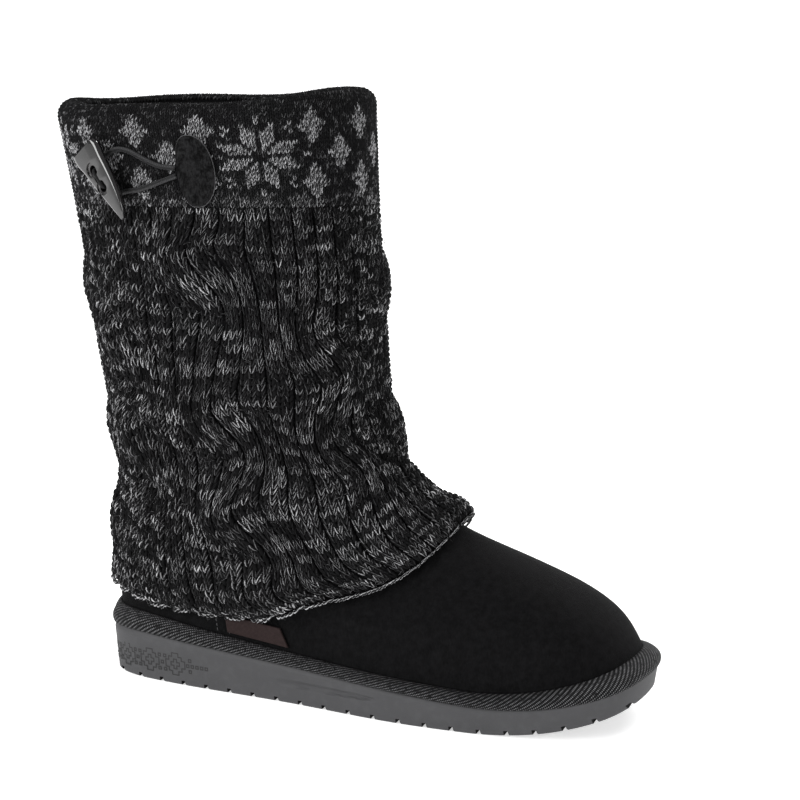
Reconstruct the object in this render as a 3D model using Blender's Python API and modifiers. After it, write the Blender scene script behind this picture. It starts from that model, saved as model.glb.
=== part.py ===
"""A right-foot winter boot: a suede upper on a grey wedge sole, inside a cable-knit sleeve.

The knit sleeve hooks over the collar of the suede and hangs to a flared hem over the instep.
A horn toggle and an elastic loop sit on its outer side, near the heel.

Metres, +Z up, the toe along +X and the outer side of the foot towards -Y.
The origin is on the ground, halfway along the sole.
"""

import math

import bmesh
import bpy
import numpy as np
from mathutils import Matrix, Vector

CLEARANCE = 0.0003

# The sole.
SOLE_LENGTH = 0.270
BALL_WIDTH = 0.0958
WAIST_WIDTH = 0.0748
HEEL_WIDTH = 0.0622
HEEL_HEIGHT = 0.0234
FOREFOOT_HEIGHT = 0.0123
TOE_SPRING = 0.0155
SPRING_START = 0.72
WEDGE_START = 0.10
WEDGE_END = 0.72
SOLE_FLARE = 0.0016
SOLE_EDGE = 0.0008

# The tread, cut right across the sole so that each groove shows as a notch in its side.
GROOVE_COUNT = 21
GROOVE_PITCH = 0.01265
GROOVE_FIRST = 0.0108
GROOVE_WIDTH = 0.0022
GROOVE_SLANT = 0.0009
GROOVE_DEPTH = 0.0020

# The long dip in each side of the sole, at the waist: a round nose in front, and the
# place and height where its upper and its lower edge end behind.
DIP_DEPTH = 0.0012
DIP_NOSE = 0.0024
DIP_NOSE_PLACE = 0.0142
DIP_NOSE_HEIGHT = 0.0099
DIP_UPPER_END = (-0.043, 0.0131)
DIP_LOWER_END = (-0.031, 0.0075)

# The taped bead between the sole and the suede.
RAND_BULGE = 0.0010
RAND_HEEL_INSET = 0.0035
RAND_TOE_INSET = 0.0075
RAND_SIDE_INSET = 0.0060

# The suede upper.
SUEDE = 0.0022
INSTEP_HEIGHT = 0.088
COLLAR_HEIGHT = 0.272
COLLAR_TILT = 0.0024
COLLAR_LENGTH = 0.1380
COLLAR_WIDTH = 0.1090
ANKLE_WIDTH = 0.0720
COLLAR_BACK = 0.0135
SEAM_PLACE = 0.257
SEAM_WIDTH = 0.0035
SEAM_RISE = 0.0009

# The insole.
INSOLE_THICKNESS = 0.0040
INSOLE_GAP = 0.0007

# The knit sleeve.
KNIT = 0.0040
RIM_RISE = 0.0072
FOLD_DEPTH = 0.032
FOLD_EASE = 0.0010
KNIT_RING_PITCH = 0.0125
HEM_CURL = 0.22
BAND_FOOT = 0.229
CABLE_COUNT = 8
CABLE_RISE = 0.0030
CABLE_SLOPE = 0.53
CABLE_STRAND = 0.0110
CABLE_REACH = 0.0265

# The toggle, its thread, the loop and the patch that holds the loop. Turns are degrees
# round the knit from the back of the heel, by the outer side.
TOGGLE_LENGTH = 0.0370
TOGGLE_WIDTH = 0.0168
TOGGLE_DEPTH = 0.0062
TOGGLE_TURN = 67.7
TOGGLE_HEIGHT = 0.2422
TOGGLE_LEAN = 35.0
TOGGLE_HOLE = 0.0040
TOGGLE_HOLE_SPACING = 0.0094
TOGGLE_HOLES_PLACE = 0.41
TOGGLE_CHANNEL_WIDTH = 0.0024
TOGGLE_CHANNEL_DEPTH = 0.0016
THREAD = 0.0016
LOOP = 0.0023
TOGGLE_STANDOFF = LOOP + 3 * CLEARANCE
PATCH_TURN = 101.7
PATCH_HEIGHT_ON_SLEEVE = 0.2450
PATCH_HEIGHT = 0.0312
PATCH_WIDTH = 0.0180
PATCH_THICKNESS = 0.0016

# The woven tab in the outer side seam.
TAB_LENGTH = 0.0325
TAB_SLANT = 0.0030
TAB_HEIGHT = 0.0086
TAB_THICKNESS = 0.0011
TAB_RISE = 0.0008

AROUND = 46
KNIT_AROUND = 52
HALF = SOLE_LENGTH / 2
SEAM_ANGLE = math.acos(1 - 2 * SEAM_PLACE)

# Outline of the sole: share of its length from the heel, the width that the row follows,
# and the outer and inner halves as shares of that width.
SOLE_PLAN = (
    (0.020, HEEL_WIDTH, 0.290, 0.290),
    (0.075, HEEL_WIDTH, 0.434, 0.434),
    (0.150, HEEL_WIDTH, 0.500, 0.500),
    (0.380, WAIST_WIDTH, 0.505, 0.495),
    (0.610, BALL_WIDTH, 0.484, 0.484),
    (0.745, BALL_WIDTH, 0.489, 0.511),
    (0.880, BALL_WIDTH, 0.450, 0.420),
    (0.960, BALL_WIDTH, 0.340, 0.290),
)

# Height of the bead at shares of the sole's length.
RAND_PLAN = (
    (0.00, 0.0110),
    (0.12, 0.0093),
    (0.34, 0.0062),
    (0.62, 0.0056),
    (0.85, 0.0064),
    (1.00, 0.0083),
)

# Outline of a level cut through the instep: share of its length, half width as a share.
INSTEP_PLAN = (
    (0.020, 0.32),
    (0.075, 0.57),
    (0.150, 0.76),
    (0.300, 0.94),
    (0.450, 1.00),
    (0.620, 0.94),
    (0.750, 0.80),
    (0.880, 0.57),
    (0.960, 0.33),
)

# Sections of the suede above the bead, from the toe wall to the collar:
# height at the back, height at the front, place of the back, place of the front,
# half width, then how much of the section is sole outline, instep and oval.
INSTEP_SECTIONS = (
    (0.46, 0.49, -0.4900, 0.4500, 0.500 * BALL_WIDTH, 0.990, 0.0, 0.0),
    (0.468, 0.57, -0.4900, 0.4204, 0.500 * BALL_WIDTH, 0.970, 0.0, 0.0),
    (0.477, 0.65, -0.4898, 0.3778, 0.500 * BALL_WIDTH, 0.945, 0.0, 0.0),
    (0.487, 0.725, -0.4893, 0.3220, 0.495 * BALL_WIDTH, 0.920, 0.0, 0.0),
    (0.498, 0.81, -0.4885, 0.2520, 0.485 * BALL_WIDTH, 0.800, 0.10, 0.0),
    (0.512, 0.90, -0.4873, 0.1780, 0.430 * BALL_WIDTH, 0.500, 0.44, 0.0),
    (0.56, 1.00, -0.4858, 0.1148, 0.385 * BALL_WIDTH, 0.200, 0.80, 0.0),
    (0.69, 1.12, -0.4820, 0.0704, 0.370 * BALL_WIDTH, 0.0, 1.0, 0.0),
    (0.88, 1.27, -0.4755, 0.0370, 0.495 * ANKLE_WIDTH, 0.0, 0.6, 0.4),
)
# The same columns for the shaft, with heights as shares of the collar's and places
# as shares of the way from the ankle to the collar.
SHAFT_SECTIONS = (
    (0.366, 0.475, 0.00, 0.00, 0.00, 0.2, 0.8),
    (0.465, 0.552, 0.10, 0.28, 0.20, 0.0, 1.0),
    (0.610, 0.662, 0.36, 0.46, 0.50, 0.0, 1.0),
    (0.800, 0.826, 0.62, 0.74, 0.78, 0.0, 1.0),
    (0.992, 1.010, 1.00, 1.00, 1.00, 0.0, 1.0),
)
ANKLE_BACK = -0.4685 * SOLE_LENGTH
ANKLE_FRONT = 0.0165 * SOLE_LENGTH
SECTION_SHARPNESS = 4.0

# How far the outside of the knit stands off the suede: level up the sections,
# then at the back, at each side and at the front.
HEM_LEVEL = 7.25
HEM_SIDE_DROP = 0.9
SLEEVE_SLACK = (
    (0.00, 0.0056, 0.0076, 0.0060),
    (0.04, 0.0056, 0.0092, 0.0088),
    (0.11, 0.0056, 0.0098, 0.0088),
    (0.25, 0.0053, 0.0088, 0.0066),
    (0.45, 0.0052, 0.0076, 0.0056),
    (0.70, 0.0056, 0.0062, 0.0062),
    (0.90, 0.0062, 0.0058, 0.0070),
    (1.00, 0.0068, 0.0056, 0.0086),
)
# Heights of the cable crossings as shares of the collar's height, for every other cable.
CROSSINGS = ((0.722, 0.468, 0.300), (0.593, 0.425))
CABLE_START = 0.272

# The toggle from its wide end to its tip: share of its length, of its width and of its
# depth, and how far its middle is shifted to the front as a share of its width.
TOGGLE_SECTIONS = (
    (0.000, 0.94, 0.90, 0.07),
    (0.025, 1.00, 1.00, 0.07),
    (0.250, 0.90, 1.00, 0.09),
    (0.480, 0.76, 0.96, 0.11),
    (0.680, 0.57, 0.86, 0.12),
    (0.840, 0.37, 0.70, 0.11),
    (0.950, 0.20, 0.48, 0.09),
    (1.000, 0.08, 0.24, 0.07),
)
# One section of the toggle: flat in front and round behind, as shares of width and depth.
TOGGLE_SECTION = (
    (-0.46, 1.00),
    (0.46, 1.00),
    (0.50, 0.90),
    (0.46, 0.52),
    (0.32, 0.18),
    (0.11, 0.02),
    (-0.11, 0.02),
    (-0.32, 0.18),
    (-0.46, 0.52),
    (-0.50, 0.90),
)

# The elastic loop, as turn and height on the knit: out of the patch, behind the toggle
# round the two legs of its thread, and back to the patch.
LOOP_ROUTE = (
    (95.4, 0.2463),
    (89.3, 0.2473),
    (82.5, 0.2511),
    (77.7, 0.2538),
    (73.5, 0.2543),
    (69.5, 0.2526),
    (65.4, 0.2496),
    (62.6, 0.2450),
    (63.6, 0.2404),
    (67.0, 0.2366),
    (71.3, 0.2353),
    (75.2, 0.2360),
    (80.0, 0.2368),
    (84.5, 0.2384),
    (89.5, 0.2405),
    (95.4, 0.2430),
)


def angles_round():
    """Angles of the points round the suede and the sole, closer together at the side seams."""
    seam_half = SEAM_WIDTH / 2 / (HALF * math.sin(SEAM_ANGLE))
    even = [2 * math.pi * step / AROUND for step in range(AROUND // 2 + 1)]
    half = [theta for theta in even if abs(theta - SEAM_ANGLE) > 2.5 * seam_half]
    half += [SEAM_ANGLE + seam_half * share for share in (-1.5, -1, 1, 1.5)]
    half.sort()
    return half + [2 * math.pi - theta for theta in reversed(half[1:-1])]


def on_seam(theta):
    turn = min(abs(theta - SEAM_ANGLE), abs(theta - 2 * math.pi + SEAM_ANGLE))
    return turn * HALF * math.sin(SEAM_ANGLE) < 0.6 * SEAM_WIDTH


THETA = angles_round()
KNIT_THETA = [2 * math.pi * step / KNIT_AROUND for step in range(KNIT_AROUND)]


def curve(knots, values, place):
    """A smooth curve through values at knots, read at one place."""
    knots = np.asarray(knots, float)
    values = np.asarray(values, float)
    slopes = np.gradient(values, knots, axis=0)
    low = int(np.clip(np.searchsorted(knots, place, side="right") - 1, 0, len(knots) - 2))
    span = knots[low + 1] - knots[low]
    share = (place - knots[low]) / span
    rest = 1 - share
    start = (1 + 2 * share) * rest**2 * values[low] + share * rest**2 * span * slopes[low]
    end = share**2 * (3 - 2 * share) * values[low + 1] - share**2 * rest * span * slopes[low + 1]
    return start + end


def share_along(theta):
    """How far from the heel end to the toe end a section's point is, for its angle."""
    return (1 - math.cos(theta)) / 2


def half_outline(shares, halves, theta):
    """Half width of an outline that closes to nothing at both ends."""
    angle = theta if theta <= math.pi else 2 * math.pi - theta
    knots = [0.0] + [math.acos(1 - 2 * share) for share in shares] + [math.pi]
    return float(curve(knots, [0.0] + list(halves) + [0.0], angle))


def sole_half(theta):
    column = 2 if theta <= math.pi else 3
    shares = [row[0] for row in SOLE_PLAN]
    return half_outline(shares, [row[1] * row[column] for row in SOLE_PLAN], theta)


def instep_half(theta):
    return half_outline([row[0] for row in INSTEP_PLAN], [row[1] for row in INSTEP_PLAN], theta)


def side_of(theta):
    return -1 if theta <= math.pi else 1


def spring(place):
    """Height of the underside of the sole: flat, then lifted towards the toe."""
    share = place / SOLE_LENGTH + 0.5
    return TOE_SPRING * max(0.0, (share - SPRING_START) / (1 - SPRING_START)) ** 2


def sole_top(place):
    """Height of the upper face of the wedge sole."""
    share = place / SOLE_LENGTH + 0.5
    down = min(1.0, max(0.0, (share - WEDGE_START) / (WEDGE_END - WEDGE_START)))
    return HEEL_HEIGHT + (FOREFOOT_HEIGHT - HEEL_HEIGHT) * down + spring(place)


def sole_point(theta):
    place = -HALF + SOLE_LENGTH * share_along(theta)
    return Vector((place, side_of(theta) * sole_half(theta), 0))


def last_point(theta):
    """The foot of the suede, set in from the edge of the sole."""
    back = -HALF + RAND_HEEL_INSET
    front = HALF - RAND_TOE_INSET
    narrower = 1 - RAND_SIDE_INSET / (BALL_WIDTH / 2)
    place = back + (front - back) * share_along(theta)
    return Vector((place, side_of(theta) * narrower * sole_half(theta), 0))


def ring(point_at, grow=0.0):
    """Points round an outline, moved outwards in plan by grow."""
    points = [point_at(theta) for theta in THETA]
    moved = []
    for step, point in enumerate(points):
        along = points[(step + 1) % len(points)] - points[step - 1]
        outward = Vector((along.y, -along.x, 0)).normalized()
        moved.append(point + grow * outward)
    return moved


def at_height(points, height_at):
    return [Vector((point.x, point.y, height_at(point.x))) for point in points]


def section_point(row, theta):
    back_z, front_z, back_x, front_x, half, foot, instep, oval = row
    share = share_along(theta)
    narrower = 1 - RAND_SIDE_INSET / (BALL_WIDTH / 2)
    sole_shape = narrower * sole_half(theta) / (BALL_WIDTH / 2)
    shape = foot * sole_shape + instep * instep_half(theta) + oval * abs(math.sin(theta))
    height = back_z + (front_z - back_z) * share**SECTION_SHARPNESS
    height -= COLLAR_TILT * math.sin(theta) * (back_z / COLLAR_HEIGHT) ** 4
    return (back_x + (front_x - back_x) * share, side_of(theta) * half * shape, height)


def suede_sections():
    """All sections above the bead as lengths in metres."""
    rows = []
    for back_z, front_z, back_x, front_x, half, foot, instep, oval in INSTEP_SECTIONS:
        heights = (back_z * INSTEP_HEIGHT, front_z * INSTEP_HEIGHT)
        places = (back_x * SOLE_LENGTH, front_x * SOLE_LENGTH)
        rows.append((*heights, *places, half, foot, instep, oval))
    collar_back = -HALF - COLLAR_BACK
    collar_front = collar_back + COLLAR_LENGTH
    for back_z, front_z, back_way, front_way, half_way, instep, oval in SHAFT_SECTIONS:
        heights = (back_z * COLLAR_HEIGHT, front_z * COLLAR_HEIGHT)
        back_x = ANKLE_BACK + (collar_back - ANKLE_BACK) * back_way
        front_x = ANKLE_FRONT + (collar_front - ANKLE_FRONT) * front_way
        half = (ANKLE_WIDTH + (COLLAR_WIDTH - ANKLE_WIDTH) * half_way) / 2
        rows.append((*heights, back_x, front_x, half, 0.0, instep, oval))
    return rows


SECTIONS = suede_sections()
TOP_LEVEL = len(SECTIONS) + 1


def rand_height(place):
    shares = [row[0] for row in RAND_PLAN]
    return float(curve(shares, [row[1] for row in RAND_PLAN], place / SOLE_LENGTH + 0.5))


FORM = {}


def form_column(theta):
    """The suede's outside at one angle: its foot, the top of the bead, then each section."""
    key = round(theta, 9)
    if key not in FORM:
        foot = last_point(theta)
        base = sole_top(foot.x)
        rows = [(foot.x, foot.y, base + CLEARANCE), (foot.x, foot.y, base + rand_height(foot.x))]
        rows += [section_point(row, theta) for row in SECTIONS]
        FORM[key] = np.array(rows)
    return FORM[key]


def form(level, theta):
    theta = theta % (2 * math.pi)
    rows = form_column(theta)
    return Vector(curve(range(len(rows)), rows, level))


def outward(level, theta):
    step = math.radians(1.5)
    around = form(level, theta + step) - form(level, theta - step)
    up = form(min(level + 0.15, TOP_LEVEL), theta) - form(max(level - 0.15, 0), theta)
    return around.cross(up).normalized()


def blend_round(back, side, front, theta):
    """One value at the back, one at each side and one at the front, blended round."""
    ends = (back * (1 + math.cos(theta)) + front * (1 - math.cos(theta))) / 2
    return side * math.sin(theta) ** 2 + ends * math.cos(theta) ** 2


def slack(level, theta):
    share = (level - HEM_LEVEL) / (TOP_LEVEL - HEM_LEVEL)
    knots = [row[0] for row in SLEEVE_SLACK]
    values = [row[1:] for row in SLEEVE_SLACK]
    back, side, front = curve(knots, values, share)
    return blend_round(back, side, front, theta)


def cable_relief(point, theta):
    """Height of the rope crossings: each is a strand that falls to the right over the panel."""
    rise = 0.0
    radius = COLLAR_LENGTH / 2
    for cable in range(CABLE_COUNT):
        middle = 2 * math.pi * (CABLE_START + cable / CABLE_COUNT)
        turn = (theta - middle + math.pi) % (2 * math.pi) - math.pi
        for height in CROSSINGS[cable % 2]:
            across = turn * radius
            up = point.z - height * COLLAR_HEIGHT
            run = across * math.cos(CABLE_SLOPE) - up * math.sin(CABLE_SLOPE)
            off = across * math.sin(CABLE_SLOPE) + up * math.cos(CABLE_SLOPE)
            rise += CABLE_RISE * math.exp(-((off / CABLE_STRAND) ** 2) - (run / CABLE_REACH) ** 4)
    return rise


def sleeve_point(level, theta):
    """The outside of the knit. Its hem hangs lower at the sides than its level there."""
    up = (level - HEM_LEVEL) / (TOP_LEVEL - HEM_LEVEL)
    lower = level - HEM_SIDE_DROP * (1 - up) ** 3 * math.sin(theta) ** 2
    base = form(lower, theta)
    return base + outward(lower, theta) * (slack(level, theta) + cable_relief(base, theta))


def level_at(height, theta):
    """The level whose point on the knit is at a height, found by halving."""
    low, high = HEM_LEVEL, float(TOP_LEVEL)
    for _ in range(24):
        middle = (low + high) / 2
        if sleeve_point(middle, theta).z < height:
            low = middle
        else:
            high = middle
    return (low + high) / 2


def on_sleeve(turn, height, off):
    """A point standing off the knit, and the way that faces out there."""
    theta = math.radians(turn)
    level = level_at(height, theta)
    away = outward(level, theta)
    return sleeve_point(level, theta) + away * off, away


def toggle_frame():
    """Along the toggle from wide end to tip, across it to the front, and outwards."""
    place, away = on_sleeve(TOGGLE_TURN, TOGGLE_HEIGHT, TOGGLE_STANDOFF)
    forward = Vector((0, 0, 1)).cross(away).normalized()
    down = forward.cross(away).normalized()
    down = down if down.z < 0 else -down
    lean = math.radians(TOGGLE_LEAN)
    along = down * math.cos(lean) + forward * math.sin(lean)
    across = away.cross(along)
    across = across if across.x > 0 else -across
    frame = Matrix((along, across, away)).transposed().to_4x4()
    frame.translation = place
    return frame


def new_collection(name):
    collection = bpy.data.collections.new(name)
    bpy.context.scene.collection.children.link(collection)
    return collection


def clear_scene():
    for obj in list(bpy.data.objects):
        bpy.data.objects.remove(obj, do_unlink=True)


clear_scene()
BOOT = new_collection("winter_boot")
CUTTERS = new_collection("cutters")


def finish(name, colour, roughness, metallic=0.0):
    """A plain finish for one piece."""
    material = bpy.data.materials.new(name)
    material.use_nodes = True
    shader = material.node_tree.nodes["Principled BSDF"]
    shader.inputs["Base Color"].default_value = (*colour, 1)
    shader.inputs["Roughness"].default_value = roughness
    shader.inputs["Metallic"].default_value = metallic
    return material


def add_object(name, mesh, material=None, collection=BOOT):
    obj = bpy.data.objects.new(name, mesh)
    collection.objects.link(obj)
    if material:
        mesh.materials.append(material)
    mesh.shade_smooth()
    mesh.set_sharp_from_angle(angle=math.radians(40))
    return obj


def loft(name, rings, join_ends=False, capped=False):
    """Quads between rings; with caps, each end is ruled between its two sides."""
    mesh = bmesh.new()
    rows = [[mesh.verts.new(point) for point in points] for points in rings]
    count = len(rows[0])
    pairs = list(zip(rows, rows[1:] + rows[:1])) if join_ends else list(zip(rows, rows[1:]))
    for low, high in pairs:
        for step in range(count):
            after = (step + 1) % count
            mesh.faces.new((low[step], low[after], high[after], high[step]))
    if capped:
        for row, flip in ((rows[0], True), (rows[-1], False)):
            for step in range(count // 2):
                corners = [row[step], row[step + 1], row[-step - 1], row[-step % count]]
                face = list(dict.fromkeys(corners))
                if flip:
                    face.reverse()
                mesh.faces.new(face)
    data = bpy.data.meshes.new(name)
    mesh.to_mesh(data)
    mesh.free()
    return data


def close_ends(data):
    """One flat face over each open end of a loft, and all faces turned outwards."""
    mesh = bmesh.new()
    mesh.from_mesh(data)
    bmesh.ops.holes_fill(mesh, edges=[edge for edge in mesh.edges if edge.is_boundary])
    bmesh.ops.recalc_face_normals(mesh, faces=mesh.faces)
    mesh.to_mesh(data)
    mesh.free()


def solidify(obj, thickness):
    wall = obj.modifiers.new("wall", "SOLIDIFY")
    wall.thickness = thickness
    wall.offset = -1
    wall.use_even_offset = True
    return wall


def cut(obj, cutter):
    cutter.hide_render = True
    cutter.display_type = "WIRE"
    boolean = obj.modifiers.new(cutter.name, "BOOLEAN")
    boolean.operation = "DIFFERENCE"
    boolean.object = cutter
    boolean.solver = "EXACT"


def tread_cutter():
    """One bar for each groove, square to the underside, with its front face slanted."""
    mesh = bmesh.new()
    for number in range(GROOVE_COUNT):
        place = -HALF + GROOVE_FIRST + GROOVE_PITCH * number
        slope = math.atan2(spring(place + SOLE_EDGE) - spring(place - SOLE_EDGE), 2 * SOLE_EDGE)
        size = Matrix.Diagonal((GROOVE_WIDTH, 2 * BALL_WIDTH, 2 * GROOVE_DEPTH, 1))
        turn = Matrix.Rotation(-slope, 4, "Y")
        shift = Matrix.Translation((place, 0, spring(place)))
        bar = bmesh.ops.create_cube(mesh, size=1, matrix=shift @ turn @ size)
        for vert in bar["verts"]:
            local = turn.inverted() @ shift.inverted() @ vert.co
            if local.x > 0 and local.z > 0:
                vert.co -= turn @ Vector((GROOVE_SLANT, 0, 0))
    data = bpy.data.meshes.new("tread_cutter")
    mesh.to_mesh(data)
    mesh.free()
    return add_object("tread_cutter", data, collection=CUTTERS)


def dip_cutter(side):
    """A long drop shape pressed into the side of the sole, with its round end forward."""
    nose = DIP_NOSE / 2
    stations = []
    for share in (0, 0.25, 0.5, 0.75, 1):
        ends = []
        for (place, height), up in ((DIP_UPPER_END, nose), (DIP_LOWER_END, -nose)):
            along = place + (DIP_NOSE_PLACE - place) * share
            ends.append((along, height + (DIP_NOSE_HEIGHT + up - height) * share))
        stations.append(ends)
    for degrees in (30, 55, 80):
        angle = math.radians(degrees)
        along = DIP_NOSE_PLACE + nose * math.sin(angle)
        rise = nose * math.cos(angle)
        stations.append([(along, DIP_NOSE_HEIGHT + rise), (along, DIP_NOSE_HEIGHT - rise)])
    rings = []
    for upper, lower in stations:
        points = []
        for (along, height), inside in ((upper, False), (lower, False), (lower, True), (upper, True)):
            theta = math.acos(-along / HALF)
            theta = theta if side < 0 else 2 * math.pi - theta
            half = sole_half(theta) - SOLE_FLARE / 2 - DIP_DEPTH if inside else BALL_WIDTH
            points.append(Vector((along, side * half, height)))
        rings.append(points)
    data = loft("dip_cutter", rings)
    close_ends(data)
    return add_object(f"dip_cutter_{'outer' if side < 0 else 'inner'}", data, collection=CUTTERS)


def make_outsole():
    """The wedge sole, its side leaning in towards a small bevel at the ground."""
    under = at_height(ring(sole_point, -SOLE_FLARE - SOLE_EDGE), spring)
    foot = at_height(ring(sole_point, -SOLE_FLARE), lambda x: spring(x) + SOLE_EDGE)
    rim = at_height(ring(sole_point), lambda x: sole_top(x) - SOLE_EDGE)
    top = at_height(ring(sole_point, -SOLE_EDGE), sole_top)
    data = loft("outsole", [under, foot, rim, top], capped=True)
    outsole = add_object("outsole", data, finish("grey rubber", (0.098, 0.098, 0.102), 0.62))
    cut(outsole, tread_cutter())
    cut(outsole, dip_cutter(-1))
    cut(outsole, dip_cutter(1))


def make_rand():
    """A bead of tape: flat on the sole and against the suede, round outside."""
    inner = ring(last_point, CLEARANCE)
    outer = ring(sole_point)
    section = (
        (0.00, 0.00),
        (0.97, 0.00),
        (1.12, 0.14),
        (1.15, 0.34),
        (1.00, 0.58),
        (0.72, 0.82),
        (0.36, 0.97),
        (0.00, 1.00),
    )
    rings = []
    for across, up in section:
        points = []
        for near, far in zip(inner, outer):
            point = near.lerp(far, min(across, 1.0))
            if across > 1:
                point += (far - near).normalized() * RAND_BULGE * (across - 1) / 0.15
            base = sole_top(near.x) + CLEARANCE
            height = rand_height(near.x) - 2 * CLEARANCE
            points.append(Vector((point.x, point.y, base + height * up)))
        rings.append(points)
    for point, near in zip(rings[1], outer):
        point.z = sole_top(near.x) + CLEARANCE
    data = loft("rand", rings, join_ends=True)
    add_object("rand", data, finish("black tape", (0.012, 0.012, 0.012), 0.8))


def make_upper():
    """The suede shell, open at the collar and underneath, with a raised seam on each side."""
    rings = []
    for level in (0, 1, 1.1, *range(2, TOP_LEVEL + 1)):
        points = []
        for theta in THETA:
            point = form(level, theta)
            if level > 1 and on_seam(theta):
                point += outward(level, theta) * SEAM_RISE
            points.append(point)
        rings.append(points)
    data = loft("upper", rings)
    upper = add_object("upper", data, finish("black suede", (0.008, 0.008, 0.008), 0.95))
    solidify(upper, SUEDE)


def make_insole():
    """A flat sock on the sole, inside the suede."""
    edge = ring(last_point, -SUEDE - INSOLE_GAP)
    low = at_height(edge, lambda x: sole_top(x) + CLEARANCE)
    high = at_height(edge, lambda x: sole_top(x) + CLEARANCE + INSOLE_THICKNESS)
    data = loft("insole", [low, high], capped=True)
    add_object("insole", data, finish("grey fleece", (0.05, 0.05, 0.052), 0.95))


def sleeve_levels():
    """Levels of the knit's rings: the hem and its curl, then evenly up the side as far as
    the fair-isle band, so that the cables show, then halfway up the band and at the collar."""
    side = math.pi / 2
    curl = HEM_LEVEL + HEM_CURL
    hem = sleeve_point(curl, side).z
    count = round((BAND_FOOT - hem) / KNIT_RING_PITCH)
    heights = [hem + (BAND_FOOT - hem) * step / count for step in range(1, count + 1)]
    levels = [level_at(height, side) for height in heights]
    return [HEM_LEVEL, curl] + levels + [(levels[-1] + TOP_LEVEL) / 2, TOP_LEVEL]


def make_sleeve():
    """The knit: up the outside, rolled over the collar, and down inside it."""
    rings = [[sleeve_point(level, theta) for theta in KNIT_THETA] for level in sleeve_levels()]
    inner = -SUEDE - FOLD_EASE - KNIT
    for step in (1, 2, 3):
        angle = math.pi * step / 4
        points = []
        for theta in KNIT_THETA:
            outer = slack(TOP_LEVEL, theta)
            middle = (outer + inner) / 2
            away = outward(TOP_LEVEL, theta)
            away.z = 0
            away.normalize()
            off = middle + (outer - inner) / 2 * math.cos(angle)
            lift = Vector((0, 0, RIM_RISE * math.sin(angle)))
            points.append(form(TOP_LEVEL, theta) + away * off + lift)
        rings.append(points)
    fold = FOLD_DEPTH / (COLLAR_HEIGHT * (SHAFT_SECTIONS[-1][0] - SHAFT_SECTIONS[-2][0]))
    for level in (TOP_LEVEL, TOP_LEVEL - fold):
        rings.append([form(level, theta) + outward(level, theta) * inner for theta in KNIT_THETA])
    data = loft("knit_sleeve", rings)
    sleeve = add_object("knit_sleeve", data, finish("marled knit", (0.02, 0.02, 0.021), 0.95))
    solidify(sleeve, KNIT)


def add_tube(name, points, diameter, material):
    """A cord as a curve with a round bevel and closed ends."""
    data = bpy.data.curves.new(name, "CURVE")
    data.dimensions = "3D"
    data.bevel_depth = diameter / 2
    data.bevel_resolution = 2
    data.use_fill_caps = True
    spline = data.splines.new("POLY")
    spline.points.add(len(points) - 1)
    for spot, point in zip(spline.points, points):
        spot.co = (*point, 1)
    data.materials.append(material)
    obj = bpy.data.objects.new(name, data)
    BOOT.objects.link(obj)
    return obj


def even_route(points, spacing):
    """Points at an even spacing on a smooth curve through a route."""
    points = [np.array(point) for point in points]
    knots = [0.0]
    for before, after in zip(points, points[1:]):
        knots.append(knots[-1] + float(np.linalg.norm(after - before)))
    count = round(knots[-1] / spacing)
    return [Vector(curve(knots, points, knots[-1] * step / count)) for step in range(count + 1)]


def toggle_cutters(frame):
    """The toggle's two holes, and the channel between them."""
    mesh = bmesh.new()
    for side in (-1, 1):
        shift = Matrix.Translation((side * TOGGLE_HOLE_SPACING / 2, 0, TOGGLE_DEPTH / 2))
        radius = TOGGLE_HOLE / 2
        bmesh.ops.create_cone(
            mesh, cap_ends=True, segments=16, radius1=radius, radius2=radius,
            depth=3 * TOGGLE_DEPTH, matrix=shift,
        )
    holes = bpy.data.meshes.new("hole_cutter")
    mesh.to_mesh(holes)
    mesh.clear()
    size = (TOGGLE_HOLE_SPACING, TOGGLE_CHANNEL_WIDTH, 2 * TOGGLE_CHANNEL_DEPTH)
    shift = Matrix.Translation((0, 0, TOGGLE_DEPTH))
    bmesh.ops.create_cube(mesh, size=1, matrix=shift @ Matrix.Diagonal((*size, 1)))
    channel = bpy.data.meshes.new("channel_cutter")
    mesh.to_mesh(channel)
    mesh.free()
    cutters = [add_object(mesh.name, mesh, collection=CUTTERS) for mesh in (holes, channel)]
    for cutter in cutters:
        cutter.matrix_world = frame
    return cutters


def make_toggle():
    """A horn toggle, flat in front, with two holes and a channel for its thread."""
    frame = toggle_frame()
    start = -TOGGLE_HOLES_PLACE * TOGGLE_LENGTH
    rings = []
    for share, width, depth, shift in TOGGLE_SECTIONS:
        points = []
        for across, up in TOGGLE_SECTION:
            side = (across * width + shift) * TOGGLE_WIDTH
            height = TOGGLE_DEPTH * (1 - (1 - up) * depth)
            points.append(Vector((start + share * TOGGLE_LENGTH, side, height)))
        rings.append(points)
    data = loft("toggle", rings)
    close_ends(data)
    toggle = add_object("toggle", data, finish("black horn", (0.010, 0.010, 0.011), 0.16))
    toggle.matrix_world = frame
    for cutter in toggle_cutters(frame):
        cut(toggle, cutter)


def make_thread():
    """The toggle's thread: up through one hole, along the channel and down the other."""
    frame = toggle_frame()
    side = TOGGLE_HOLE_SPACING / 2
    top = TOGGLE_DEPTH - TOGGLE_CHANNEL_DEPTH + CLEARANCE + THREAD / 2
    low = CLEARANCE - TOGGLE_STANDOFF
    corner = THREAD / 2
    legs = [(-side, low), (-side, top - corner), (corner - side, top)]
    path = legs + [(-across, up) for across, up in reversed(legs)]
    points = [frame @ Vector((along, 0, up)) for along, up in path]
    add_tube("toggle_thread", points, THREAD, finish("black thread", (0.01, 0.01, 0.01), 0.8))


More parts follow.
